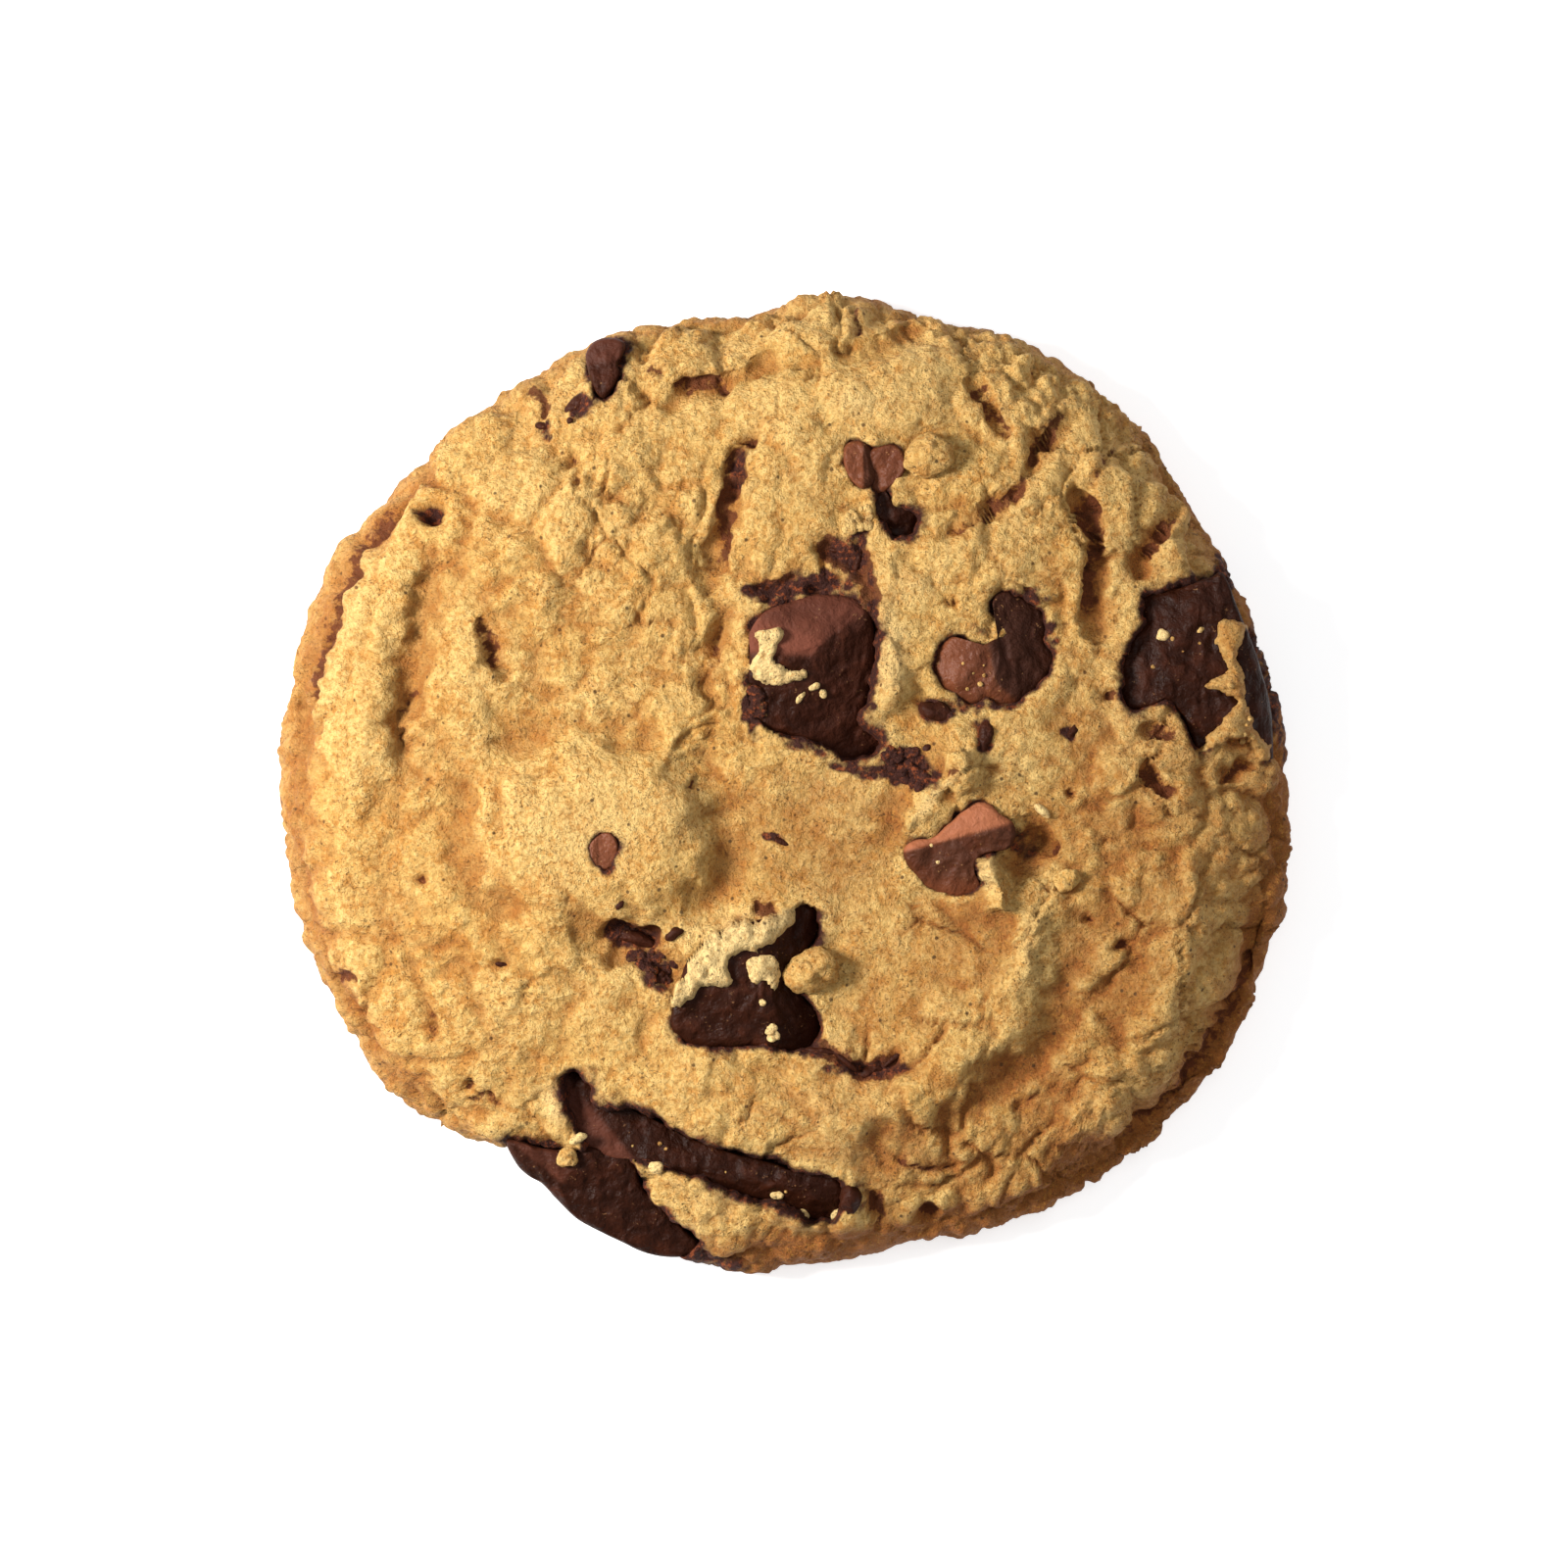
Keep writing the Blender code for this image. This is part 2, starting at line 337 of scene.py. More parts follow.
def crustMaterial(name, look):
    t = Tree(name)
    toast, cream = t.attribute("toast"), t.attribute("cream")
    crack, stain, hollow = t.attribute("crack"), t.attribute("stain"), t.attribute("hollow")
    broad = t.noise(9.0, 1.0, 0.6)
    patch = t.noise(1.5, 3.0, 0.65)
    grain = t.noise(0.5, 4.0, 0.78)
    granule = 1 - t.cells(0.6).between(0.15, 0.75)
    height = grain * 0.88 + granule * 0.12

    colour = t.blend(patch.between(0.42, 0.66), look["golden"], look["amber"])
    # lightness: paler with the cream places and the broad tone, paler on the tops of the grains, which is
    # partly painted light, and darker in hollows, which is painted shade
    lightness = (height + cream * 0.25 - hollow * 0.12 + broad * 0.3 - 0.15).between(0.36, 0.72)
    colour = t.blend(lightness * 0.7, colour, look["pale"])
    # cream: pale torn dough, and a painted highlight on raised places facing the key lamp
    colour = t.blend((cream - 0.35).between(0.0, 0.6) * 0.8, colour, look["cream"])
    # toast and shade: baked browning, together with painted shade in the hollows and on the side away from
    # the key lamp
    toasting = (toast + (patch - 0.5) * 0.9 + hollow * 0.55 - cream * 0.3).clamped()
    colour = t.blend(toasting, colour, look["toasted"])
    colour = t.blend((1 - height).between(0.48, 0.72) * 0.45, colour, look["shade"])

    fleck = t.noise(0.45, 2.0, 0.6, 0.6).between(0.55, 0.68)
    colour = t.blend(fleck * 0.5, colour, look["amber"])
    # pores: specks and pits painted dark, painted shade standing in for the shadow inside the tiny pores of
    # the crust
    speck = t.noise(0.26, 1.0, 0.6, 0.5).between(0.60, 0.68)
    speck = speck * (0.35 + t.noise(3.0, 2.0).between(0.42, 0.62) * 0.65)
    pitKind = t.node("ShaderNodeSeparateColor", {}, {0: t.cells(1.5, output="Color")}).between(0.6, 0.66)
    pit = (1 - t.cells(1.5).between(0.08, 0.15)) * pitKind
    pores = t.node("ShaderNodeMath", {"operation": "MAXIMUM"}, {0: speck * 0.8, 1: pit})
    colour = t.blend((pores * 0.85).clamped(), colour, look["pore"])
    # crack colour: partly the crust's own and partly painted shade in the cracks, creases and pits
    split = (crack + (t.noise(0.7, 3.0, 0.6) - 0.5) * 0.9).between(0.62, 0.8)
    colour = t.blend((crack * 0.45).clamped(), colour, look["singed"])
    colour = t.blend(split * 0.9, colour, look["crack"])
    # stain: chocolate stain, and painted shade round the pieces and in the holes and gaps
    crumb = t.blend(t.noise(0.6, 3.0, 0.7).between(0.5, 0.66), look["stain"], look["redCrumb"])
    colour = t.blend((stain * (0.3 + patch * 1.4)).between(0.25, 0.7), colour, crumb)

    normal = t.bump(patch, 0.7, 0.6)
    normal = t.bump(height, 0.7, 0.9, normal)
    normal = t.bump(t.noise(0.2, 1.0, 0.7), 0.12, 0.8, normal)
    t.shader.inputs["Specular IOR Level"].default_value = 0.25
    roughness = 0.72 + (grain - 0.5) * 0.3
    return t.finish(colour=colour, roughness=roughness, normal=normal)


# chocolate

chocolateLooks = {
    "dark": {"body": paint(35, 14, 6), "bloom": paint(104, 58, 44), "scuff": paint(54, 24, 12),
             "dust": paint(140, 100, 66), "gloss": 0.34, "shine": 0.08},
    # milk: the bloom colour is partly a painted highlight and the scuff colour partly painted shade
    "milk": {"body": paint(68, 28, 11), "bloom": paint(150, 90, 60), "scuff": paint(52, 24, 12),
             "dust": paint(190, 140, 92), "gloss": 0.3, "shine": 0.15},
}


def chocolateMaterial(name, look):
    t = Tree(name)
    bloom, worn = t.attribute("bloom"), t.attribute("worn")
    patch = t.noise(1.6, 4.0, 0.6, 0.4)
    grain = t.noise(0.3, 3.0, 0.6)
    # scuff and bloom: wear and bloom on dark chocolate; on milk chocolate partly painted shade and a painted
    # highlight
    colour = t.blend((worn * (0.35 + patch.between(0.4, 0.7))).clamped(), look["body"], look["scuff"])
    colour = t.blend((bloom * (0.55 + patch * 0.7)).clamped(), colour, look["bloom"])
    dust = t.noise(0.3, 2.0, 0.6).between(0.64, 0.7) * t.noise(2.2, 2.0).between(0.5, 0.62)
    colour = t.blend(dust * 0.5, colour, look["dust"])
    normal = t.bump(patch, 0.5, 0.8)
    normal = t.bump(t.cells(0.8), 0.15, 0.5, normal)
    normal = t.bump(grain, 0.12, 0.8, normal)
    roughness = (look["gloss"] + bloom * 0.25 + worn * 0.12 + (patch - 0.5) * 0.3).clamped()
    t.shader.inputs["Specular IOR Level"].default_value = look["shine"]
    return t.finish(colour=colour, roughness=roughness, normal=normal)


crust = crustMaterial("bakedCrust", crustLook)
darkChocolate = chocolateMaterial("darkChocolate", chocolateLooks["dark"])
milkChocolate = chocolateMaterial("milkChocolate", chocolateLooks["milk"])
chocolates = {"dark_chocolate": darkChocolate, "milk_chocolate": milkChocolate}
print("materials made")


# the pieces of chocolate

# Where each piece shows: its outline seen from above, and the flats of its top as (x, y, height, slope in x,
# slope in y, bloom). On milk chocolate the bloom is partly a painted highlight on the flats facing the key
# lamp, and the flats with little of it are painted darker as painted shade. The top is the lowest of its
# flats.
# Flaps are dough that lies on it: how high they stand, how wide their rounded edge is, their share of crumbs,
# and their outline.
chocolatePieces = {
    "chunk_centre": {
        "outline": [
            (-2.7, 13.2), (-1.5, 14.9), (0.6, 15.7), (2.6, 16.3), (4.8, 16.3), (6.5, 15.8), (7.5, 14.4),
            (7.8, 12), (7.7, 9.6), (7.4, 7.4), (6.6, 6), (7.2, 5), (8.4, 4.3), (8.9, 3.5), (8, 2.6),
            (6.2, 2.3), (4.4, 2.9), (2.6, 3.9), (0.6, 4.5), (-1.3, 5), (-2.4, 6), (-3, 7.6), (-2.8, 9.8),
            (-2.7, 11.6),
        ],
        "flats": [
            (2, 13, 11.9, -0.03, 0.05, 1.0), (2.4, 11.4, 11.85, -0.42, 0.34, 0.14),
            (1, 11, 11.75, -0.02, 0.26, 0.02), (5.2, 14.4, 11.4, -0.1, -0.15, 0.6),
        ],
        "slot": "dark_chocolate",
        "flaps": {
            "cream": (0.45, 0.5, 1.0, [
                (-2.9, 13.4), (-2, 12), (-2.6, 11.3), (-2.9, 10.2), (-2.5, 9), (-1, 8.6), (0.2, 8.7),
                (2, 9), (2.2, 10.3), (0.2, 10.4), (-1, 11.1), (-0.4, 11.8), (-0.1, 12.8), (-0.4, 13.9),
            ]),
        },
    },
    "chunk_lower": {
        "outline": [
            (-9.6, -20.1), (-9.5, -21.6), (-8.1, -22.8), (-5.4, -23), (-3, -22.8), (-1, -23.1),
            (0.6, -23.5), (2.3, -23.1), (3.1, -21.8), (2.9, -20.2), (1.7, -19.2), (1, -18.2),
            (0.9, -16.6), (1.8, -14.8), (2.9, -13.2), (2.9, -11.5), (1.7, -10.8), (0, -11.6), (-3, -12.6),
            (-6, -13.6), (-8, -15.4), (-8.8, -17.4), (-9.2, -18.8),
        ],
        "flats": [
            (-3, -17, 11.3, 0.0, 0.04, 0.05), (-3, -18.6, 11.2, 0.0, 0.24, 0.0),
            (-1.2, -15, 11.2, -0.75, 0.1, 0.0),
        ],
        "slot": "dark_chocolate",
        "flaps": {
            "cream": (1.0, 0.8, 1.0, [
                (-10.2, -13.7), (-8.8, -12.2), (-6.5, -11.3), (-5, -10.8), (-1.5, -10.8), (0.2, -10.6),
                (1.3, -11.3), (0.6, -12.6), (-0.8, -14.3), (-2.5, -14.7), (-4.4, -15.4), (-4.7, -16.5),
                (-4.1, -17.8), (-5.5, -18.1), (-7, -17.9), (-7.7, -18.4), (-8.6, -19.7), (-9.7, -19.8),
                (-10.6, -18.4), (-10.4, -15.5),
            ]),
            "knob": (0.3, 0.8, 1.5, [
                (-3.4, -15.6), (-2, -14.9), (-0.6, -15.3), (-0.2, -16.8), (-0.8, -18.4), (-1.5, -17.5),
                (-2.6, -18), (-3.2, -16.9),
            ]),
        },
    },
    "chunk_bar": {
        "outline": [
            (-19.4, -26.4), (-18.4, -25.8), (-17.4, -26.6), (-16.9, -28.5), (-14.2, -28.9),
            (-12.2, -29.5), (-9.9, -30.8), (-7.5, -32.1), (-5.2, -32.8), (-2.9, -33.3), (-0.6, -33.9),
            (1, -34.7), (3.4, -34.8), (4.9, -35.1), (5.3, -36.2), (5, -37.6), (4.2, -38.5), (2.4, -38.7),
            (1.2, -37.9), (-0.4, -37), (-2.4, -36.8), (-4.2, -36.4), (-6.2, -35.7), (-7.6, -35),
            (-9.8, -34.4), (-11.7, -33.7), (-13.4, -33.4), (-15.2, -33.2), (-17.4, -32.4), (-18.4, -30.4),
            (-19.2, -28.4),
        ],
        "flats": [
            (-4, -34, 6.6, -0.04, -0.1, 0.0), (-12.8, -31, 7.1, 0.14, 0.05, 0.5),
            (-3, -35.6, 6.5, 0.06, 0.6, 0.0),
        ],
        "slot": "dark_chocolate",
    },
    "chunk_edge": {
        "outline": [
            (-24.4, -32), (-23.6, -33.8), (-22.6, -34.9), (-21.2, -35.7), (-20, -36.9), (-18.4, -38.4),
            (-16.5, -39.5), (-14.5, -40.6), (-12.8, -41.5), (-10.8, -42), (-8.6, -41.9), (-7.6, -41.2),
            (-8.8, -40), (-9.9, -38.9), (-11.2, -37.6), (-12.6, -36.4), (-13.2, -35.4), (-13.6, -33.8),
            (-15.4, -33), (-17.4, -32.6), (-19.4, -32.9), (-21.6, -32.6), (-23.2, -32),
        ],
        "flats": [
            (-17, -35, 6.6, 0.06, 0.16, 0.3), (-18.5, -36.6, 6.2, 0.3, 0.46, 0.0),
            (-12, -39.5, 4.8, -0.1, 0.2, 0.0),
        ],
        "slot": "dark_chocolate",
    },
    "chunk_right": {
        "outline": [
            (32.2, 16.7), (31.8, 15.3), (32.3, 14.1), (30.9, 12.6), (30.1, 10.2), (30.2, 8), (31, 6.8),
            (32.6, 7), (34, 7.6), (35.3, 6.6), (36, 5), (36.9, 3.3), (38.4, 3.9), (40.4, 4.6), (42, 4),
            (42.9, 2.6), (43.3, 2.4), (43.3, 4), (43, 7), (42.1, 10), (41.1, 12.7), (40, 15.4),
            (39.3, 17.4), (38.7, 18.4), (38, 18), (37.2, 17.8), (35.2, 17),
        ],
        "flats": [
            (35, 12, 9.0, -0.06, 0.02, 0.0), (40.6, 10, 8.7, -0.75, 0.1, 0.0),
            (33, 10, 8.9, 0.25, -0.1, 0.0), (37, 6, 8.6, 0, 0.2, 0.0),
        ],
        "slot": "dark_chocolate",
        "flaps": {
            "strip": (1.3, 1.3, 0.35, [
                (38, 14.2), (38.1, 12.5), (38.6, 11.4), (39.6, 10.5), (39.2, 10), (38.2, 9.4),
                (37.5, 8.6), (38.5, 8), (40.1, 7.4), (39.5, 6.5), (38.4, 5), (37.4, 4), (37.1, 2.4),
                (40, 1), (43.8, 2.2), (43.1, 4), (41.9, 6.2), (41.2, 7.8), (41.1, 10), (40.8, 12.5),
                (40.5, 14.2), (39.2, 14.7),
            ]),
        },
    },
    "chunk_top": {
        "outline": [
            (8.2, 24.9), (8.9, 25.9), (9.6, 25), (10.8, 24.2), (11.9, 23.6), (11.4, 22.8), (11.1, 22.2),
            (9.8, 22.1), (9.4, 22.9), (8.5, 23.8),
        ],
        "flats": [(10, 24, 9.3, -0.05, 0.1, 0.0), (10.6, 23.4, 9.2, -0.5, 0.3, 0.0)],
        "slot": "dark_chocolate",
    },
    "chunk_upper_left": {
        "outline": [
            (-17.3, 38), (-16.7, 39), (-15.4, 39.3), (-14.4, 38.9), (-14.6, 38), (-15.1, 37.2),
            (-14.9, 36.6), (-15.3, 35.5), (-15.9, 34.6), (-16.5, 34.9), (-16.9, 36), (-17.1, 37),
        ],
        "flats": [(-16, 37.6, 8.0, 0.1, -0.15, 0.35), (-15.8, 36, 7.9, 0.05, 0.1, 0.1)],
        "slot": "dark_chocolate",
    },
    "chip_middle": {
        "outline": [
            (14.1, 12), (15.2, 12.9), (16.4, 12.5), (17.8, 12.2), (19, 12.6), (20.1, 13.5), (19.4, 14.6),
            (18.5, 15.4), (18.8, 16.4), (19.9, 16.8), (21.3, 16), (22.6, 15.4), (23.1, 14), (22.9, 12.6),
            (23.9, 11.3), (23.3, 10), (22.4, 8.8), (21, 7.8), (19.2, 7.1), (18, 7.8), (16.8, 7.3),
            (15.2, 8.2), (14.1, 9), (13.6, 10.5),
        ],
        "flats": [
            (17, 10.3, 10.9, -0.08, 0.02, 0.24), (18.6, 10, 10.75, -0.42, -0.05, 0.0),
            (15.4, 10.4, 10.8, 0.3, 0.0, 0.34), (17.4, 8.6, 10.6, 0.0, 0.4, 0.24),
        ],
        "slot": "milk_chocolate",
    },
    "chip_low": {
        "outline": [
            (11, -5.7), (12, -5), (13.4, -4.9), (14.6, -3.9), (15.6, -2.9), (16.8, -2), (18, -2.1),
            (18.8, -2.9), (19.9, -3.6), (20.1, -4.7), (19.5, -5.7), (18.2, -6), (17.1, -6.3),
            (16.7, -7.1), (16.9, -8), (17.3, -8.9), (16.6, -9.5), (15.4, -9.9), (14, -9.4), (12.7, -8.7),
            (11.8, -7.8), (11.1, -6.8),
        ],
        "flats": [
            (17.2, -4.2, 11.3, 0.1, -0.05, 1.0), (15.6, -5.0, 11.2, 0.0, 0.36, 0.4),
            (14, -7, 10.4, 0.0, 0.32, 0.1),
        ],
        "slot": "milk_chocolate",
    },
    "chip_top_left": {
        "outline": [
            (5.6, 29.6), (6.4, 30), (7.3, 29.7), (7.8, 28.8), (7.9, 27.6), (7.6, 26.6), (6.9, 26.4),
            (6.1, 27.2), (5.6, 28.4),
        ],
        "flats": [(6.6, 28.2, 10.7, 0.05, 0.02, 0.35), (7.2, 28, 10.6, -0.6, 0.0, 0.1)],
        "slot": "milk_chocolate",
    },
    "chip_top_right": {
        "outline": [
            (7.7, 29.2), (8.8, 29.7), (9.8, 29.6), (10.4, 28.8), (10.4, 27.9), (9.8, 27), (9.2, 26.4),
            (8.5, 25.9), (7.8, 26.5), (7.5, 27.8),
        ],
        "flats": [(9, 28, 10.2, 0.0, 0.1, 0.24), (8.6, 27.2, 10.0, 0.3, 0.4, 0.24)],
        "slot": "milk_chocolate",
    },
    "chip_left": {
        "outline": [
            (-17, -5.8), (-16.4, -4.8), (-15.4, -4.6), (-14.9, -5.5), (-15.1, -6.8), (-15.9, -7.3),
            (-16.7, -6.9),
        ],
        "flats": [(-16, -6, 13.0, 0.0, 0.08, 0.35)],
        "slot": "milk_chocolate",
    },
}

for piece in chocolatePieces.values():
    piece["line"] = throughPoints(piece["outline"], closed=True, steps=5)


# the dough

doughHigh = np.array(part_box("dough")[1]) / mm

dough = {
    "crown": 11.6,  # height of the smooth dome in the middle
    "shoulder": 8.2,  # height that it falls to near the rim
    "equator": 2.6,  # height at which the rim is widest
    "rimPower": 12.0,
    "under": [(0.998, 1.9), (0.991, 1.2), (0.98, 0.6), (0.966, 0.18), (0.95, 0.0)],  # rings under the rim
    "baseShare": 0.93,
    "pocket": 2.2,  # how far the dough lies below the top of each piece of chocolate
    "stainReach": {"dark_chocolate": 0.8, "milk_chocolate": 0.45},
    "cells": 264,
    # the rim seen from above, anticlockwise from +X
    "rim": [
        (45.6, -3), (44.5, 8), (41.0, 17), (36.8, 25.5), (30.2, 34), (21.5, 40), (12.5, 42.6),
        (4.6, 44.2), (-4, 42.2), (-15, 40.4), (-25, 35.3), (-33.5, 28.4), (-39.5, 21), (-43.6, 12),
        (-45.5, 2), (-44.6, -9), (-41, -19), (-35.5, -27.6), (-29, -31.6), (-23, -33.2), (-17.5, -36.8),
        (-12, -40.9), (-6, -43.8), (3, -43.3), (13, -41.2), (22.5, -38.9), (31.5, -33.4), (38.8, -26),
        (43.3, -17),
    ],
}

# Lumps and dips: x, y, half length, half width, turn in degrees, height.
lumps = {
    "left shoulder": (-38.2, 9, 15, 3.8, 86, 1.6),
    "left knuckle": (-28.4, 9, 6.5, 4.0, 80, 1.2),
    "upper left field": (-20, 22, 13, 9, 20, 1.2),
    "left dome": (-17.5, -5, 11, 9, 0, 2.9),
    "upper dome": (0, 27.5, 7.5, 4.6, 90, 1.3),
    "top dome": (9, 35, 6.5, 4.5, 10, 1.4),
    "top right plate": (21.5, 35, 5.5, 4.5, 0, 0.9),
    "right plate": (20, 21.5, 8.5, 5.5, 8, 1.2),
    "upper right shoulder": (31.5, 26, 6, 4, -45, 1.0),
    "lump over the right chunk": (36, 20, 3.6, 3, -50, 1.2),
    "plate under the right chunk": (33.5, 1.5, 4.5, 3.4, 0, 0.9),
    "smooth basin": (8, -14, 11, 8, 20, -1.3),
    "basin by the centre": (5, -4, 9, 7, 0, -1.3),
    "right fold": (36, -11, 8, 3.2, 80, 1.0),
    "lower right fold": (30.5, -27, 8, 3.2, 46, 1.0),
    "lower lip": (-6, -28.5, 9, 3.6, -18, 1.2),
    "lower left field": (-30, -18, 9, 8, 0, 0.6),
    "shaded hollow": (21.4, -5.6, 1.9, 2.2, 0, -2.4),
    "gap under the left dome": (-13, -15.2, 6, 1.9, -25, -2.0),
    "middle": (19, 3, 5, 4, 0, 0.4),
}

# How much calmer the crust is on some of them.
calmPlaces = {
    "smooth basin": 0.55, "left dome": 0.5, "basin by the centre": 0.5, "left shoulder": 0.3,
    "lower lip": 0.25,
    "right fold": 0.2,
}

# Ridges and grooves: half width, height, skew, then the route. Going along the route, the left side is the
# wider one where skew is above 0 and the sharper one where it is below.
folds = {
    "left groove": (1.2, -1.1, 0, [(-30.6, 22), (-31.6, 17), (-32.6, 11), (-33.9, 5), (-33, -1)]),
    "left foot crease": (0.9, -1.3, 0, [(-34.5, 25.5), (-38, 21.5), (-41.4, 15), (-43, 9), (-43.3, 4)]),
    "knuckle crease": (0.9, -0.9, 0, [(-26.8, 15), (-25.6, 12), (-24.2, 8.5)]),
    "middle groove": (1.1, -1.2, 0, [
        (-4.4, 30.4), (-4.8, 27.5), (-4.6, 24), (-6.6, 19.5), (-5.4, 15), (-6.8, 10), (-6, 5),
    ]),
    "dome right edge": (2.4, -1.9, 0.3, [(-10, 4), (-6.8, 0), (-5.8, -4), (-6.4, -8), (-8.6, -12)]),
    "dome top edge": (1.2, -0.8, 0, [(-27, 2), (-22, 4.6), (-15, 5), (-10, 3.5)]),
    "dome left edge": (1.4, -1.2, 0, [(-28, 1), (-29, -4), (-27.4, -9), (-22, -12.6)]),
    "top groove": (0.9, -1.1, 0, [(4, 37.4), (7, 38.6), (10, 39.8), (13.6, 41)]),
    "upper left groove": (1.0, -1.1, 0, [(-11, 33), (-8.4, 34.6), (-5.5, 35.3), (-2.6, 37.6), (0.4, 38.6)]),
    "top right groove": (0.9, -1.1, 0, [(26.4, 34.4), (24.4, 31.6), (22.2, 29.8), (21.4, 27)]),
    "top plate edge": (0.7, -0.8, 0, [(16.2, 36.6), (17.2, 35.2), (18.4, 33), (20, 30.6)]),
    "plate right edge": (0.8, -1.2, 0, [(24.6, 26.6), (27, 24.2), (28, 19.4), (27.4, 15), (27, 12.6)]),
    "plate upper edge": (0.7, -0.6, 0, [(13.8, 21.4), (16, 23.4), (19.6, 25), (22, 26.4)]),
    "shoulder groove": (0.9, -1.2, 0, [(35.6, 25.4), (33.6, 22.4), (31.6, 20.2), (31.3, 17.6)]),
    "middle ridge": (1.9, 0.9, 0, [(8, 21), (9.6, 18), (9.2, 14.5), (10.4, 11), (9.6, 8.5), (10.6, 6)]),
    "diagonal ridge": (1.4, 1.6, 0, [(16, 5.2), (15.7, 1.4), (13.8, -1.2), (11.6, -3.2), (10.2, -4.6)]),
    "tongue": (1.2, 1.9, 0, [(17.6, -6.6), (18.6, -9), (19.2, -12.4)]),
    "long fold": (2.6, 1.5, -0.3, [
        (24.4, -7.6), (22.8, -12), (21.4, -17), (18.6, -22.4), (13, -27), (6, -30), (-1, -31),
    ]),
    "long fold shade": (1.5, -0.7, 0, [
        (26.4, -10), (25.4, -16.5), (23.4, -21.6), (19.4, -27), (13.6, -31),
    ]),
    "outer fold": (1.7, 0.8, 0, [(37.2, -5), (36, -12), (33.4, -21), (28.4, -28), (22, -33)]),
    "right foot crease": (1.1, -1.5, 0, [
        (42.4, -8), (41.6, -15), (39.2, -22), (35, -28), (29.4, -33.2), (24, -36.2),
    ]),
    "right plate crack": (0.5, -0.7, 0, [(31.3, 1.6), (33, 0.4), (34.8, -1.4)]),
    "right plate top": (0.4, -0.5, 0, [(31.5, 4.1), (33.4, 4.6), (35.6, 4.2)]),
    "rim crack right": (0.5, -0.6, 0, [(38.4, 0.2), (40, 0.9), (42, 1.9)]),
}
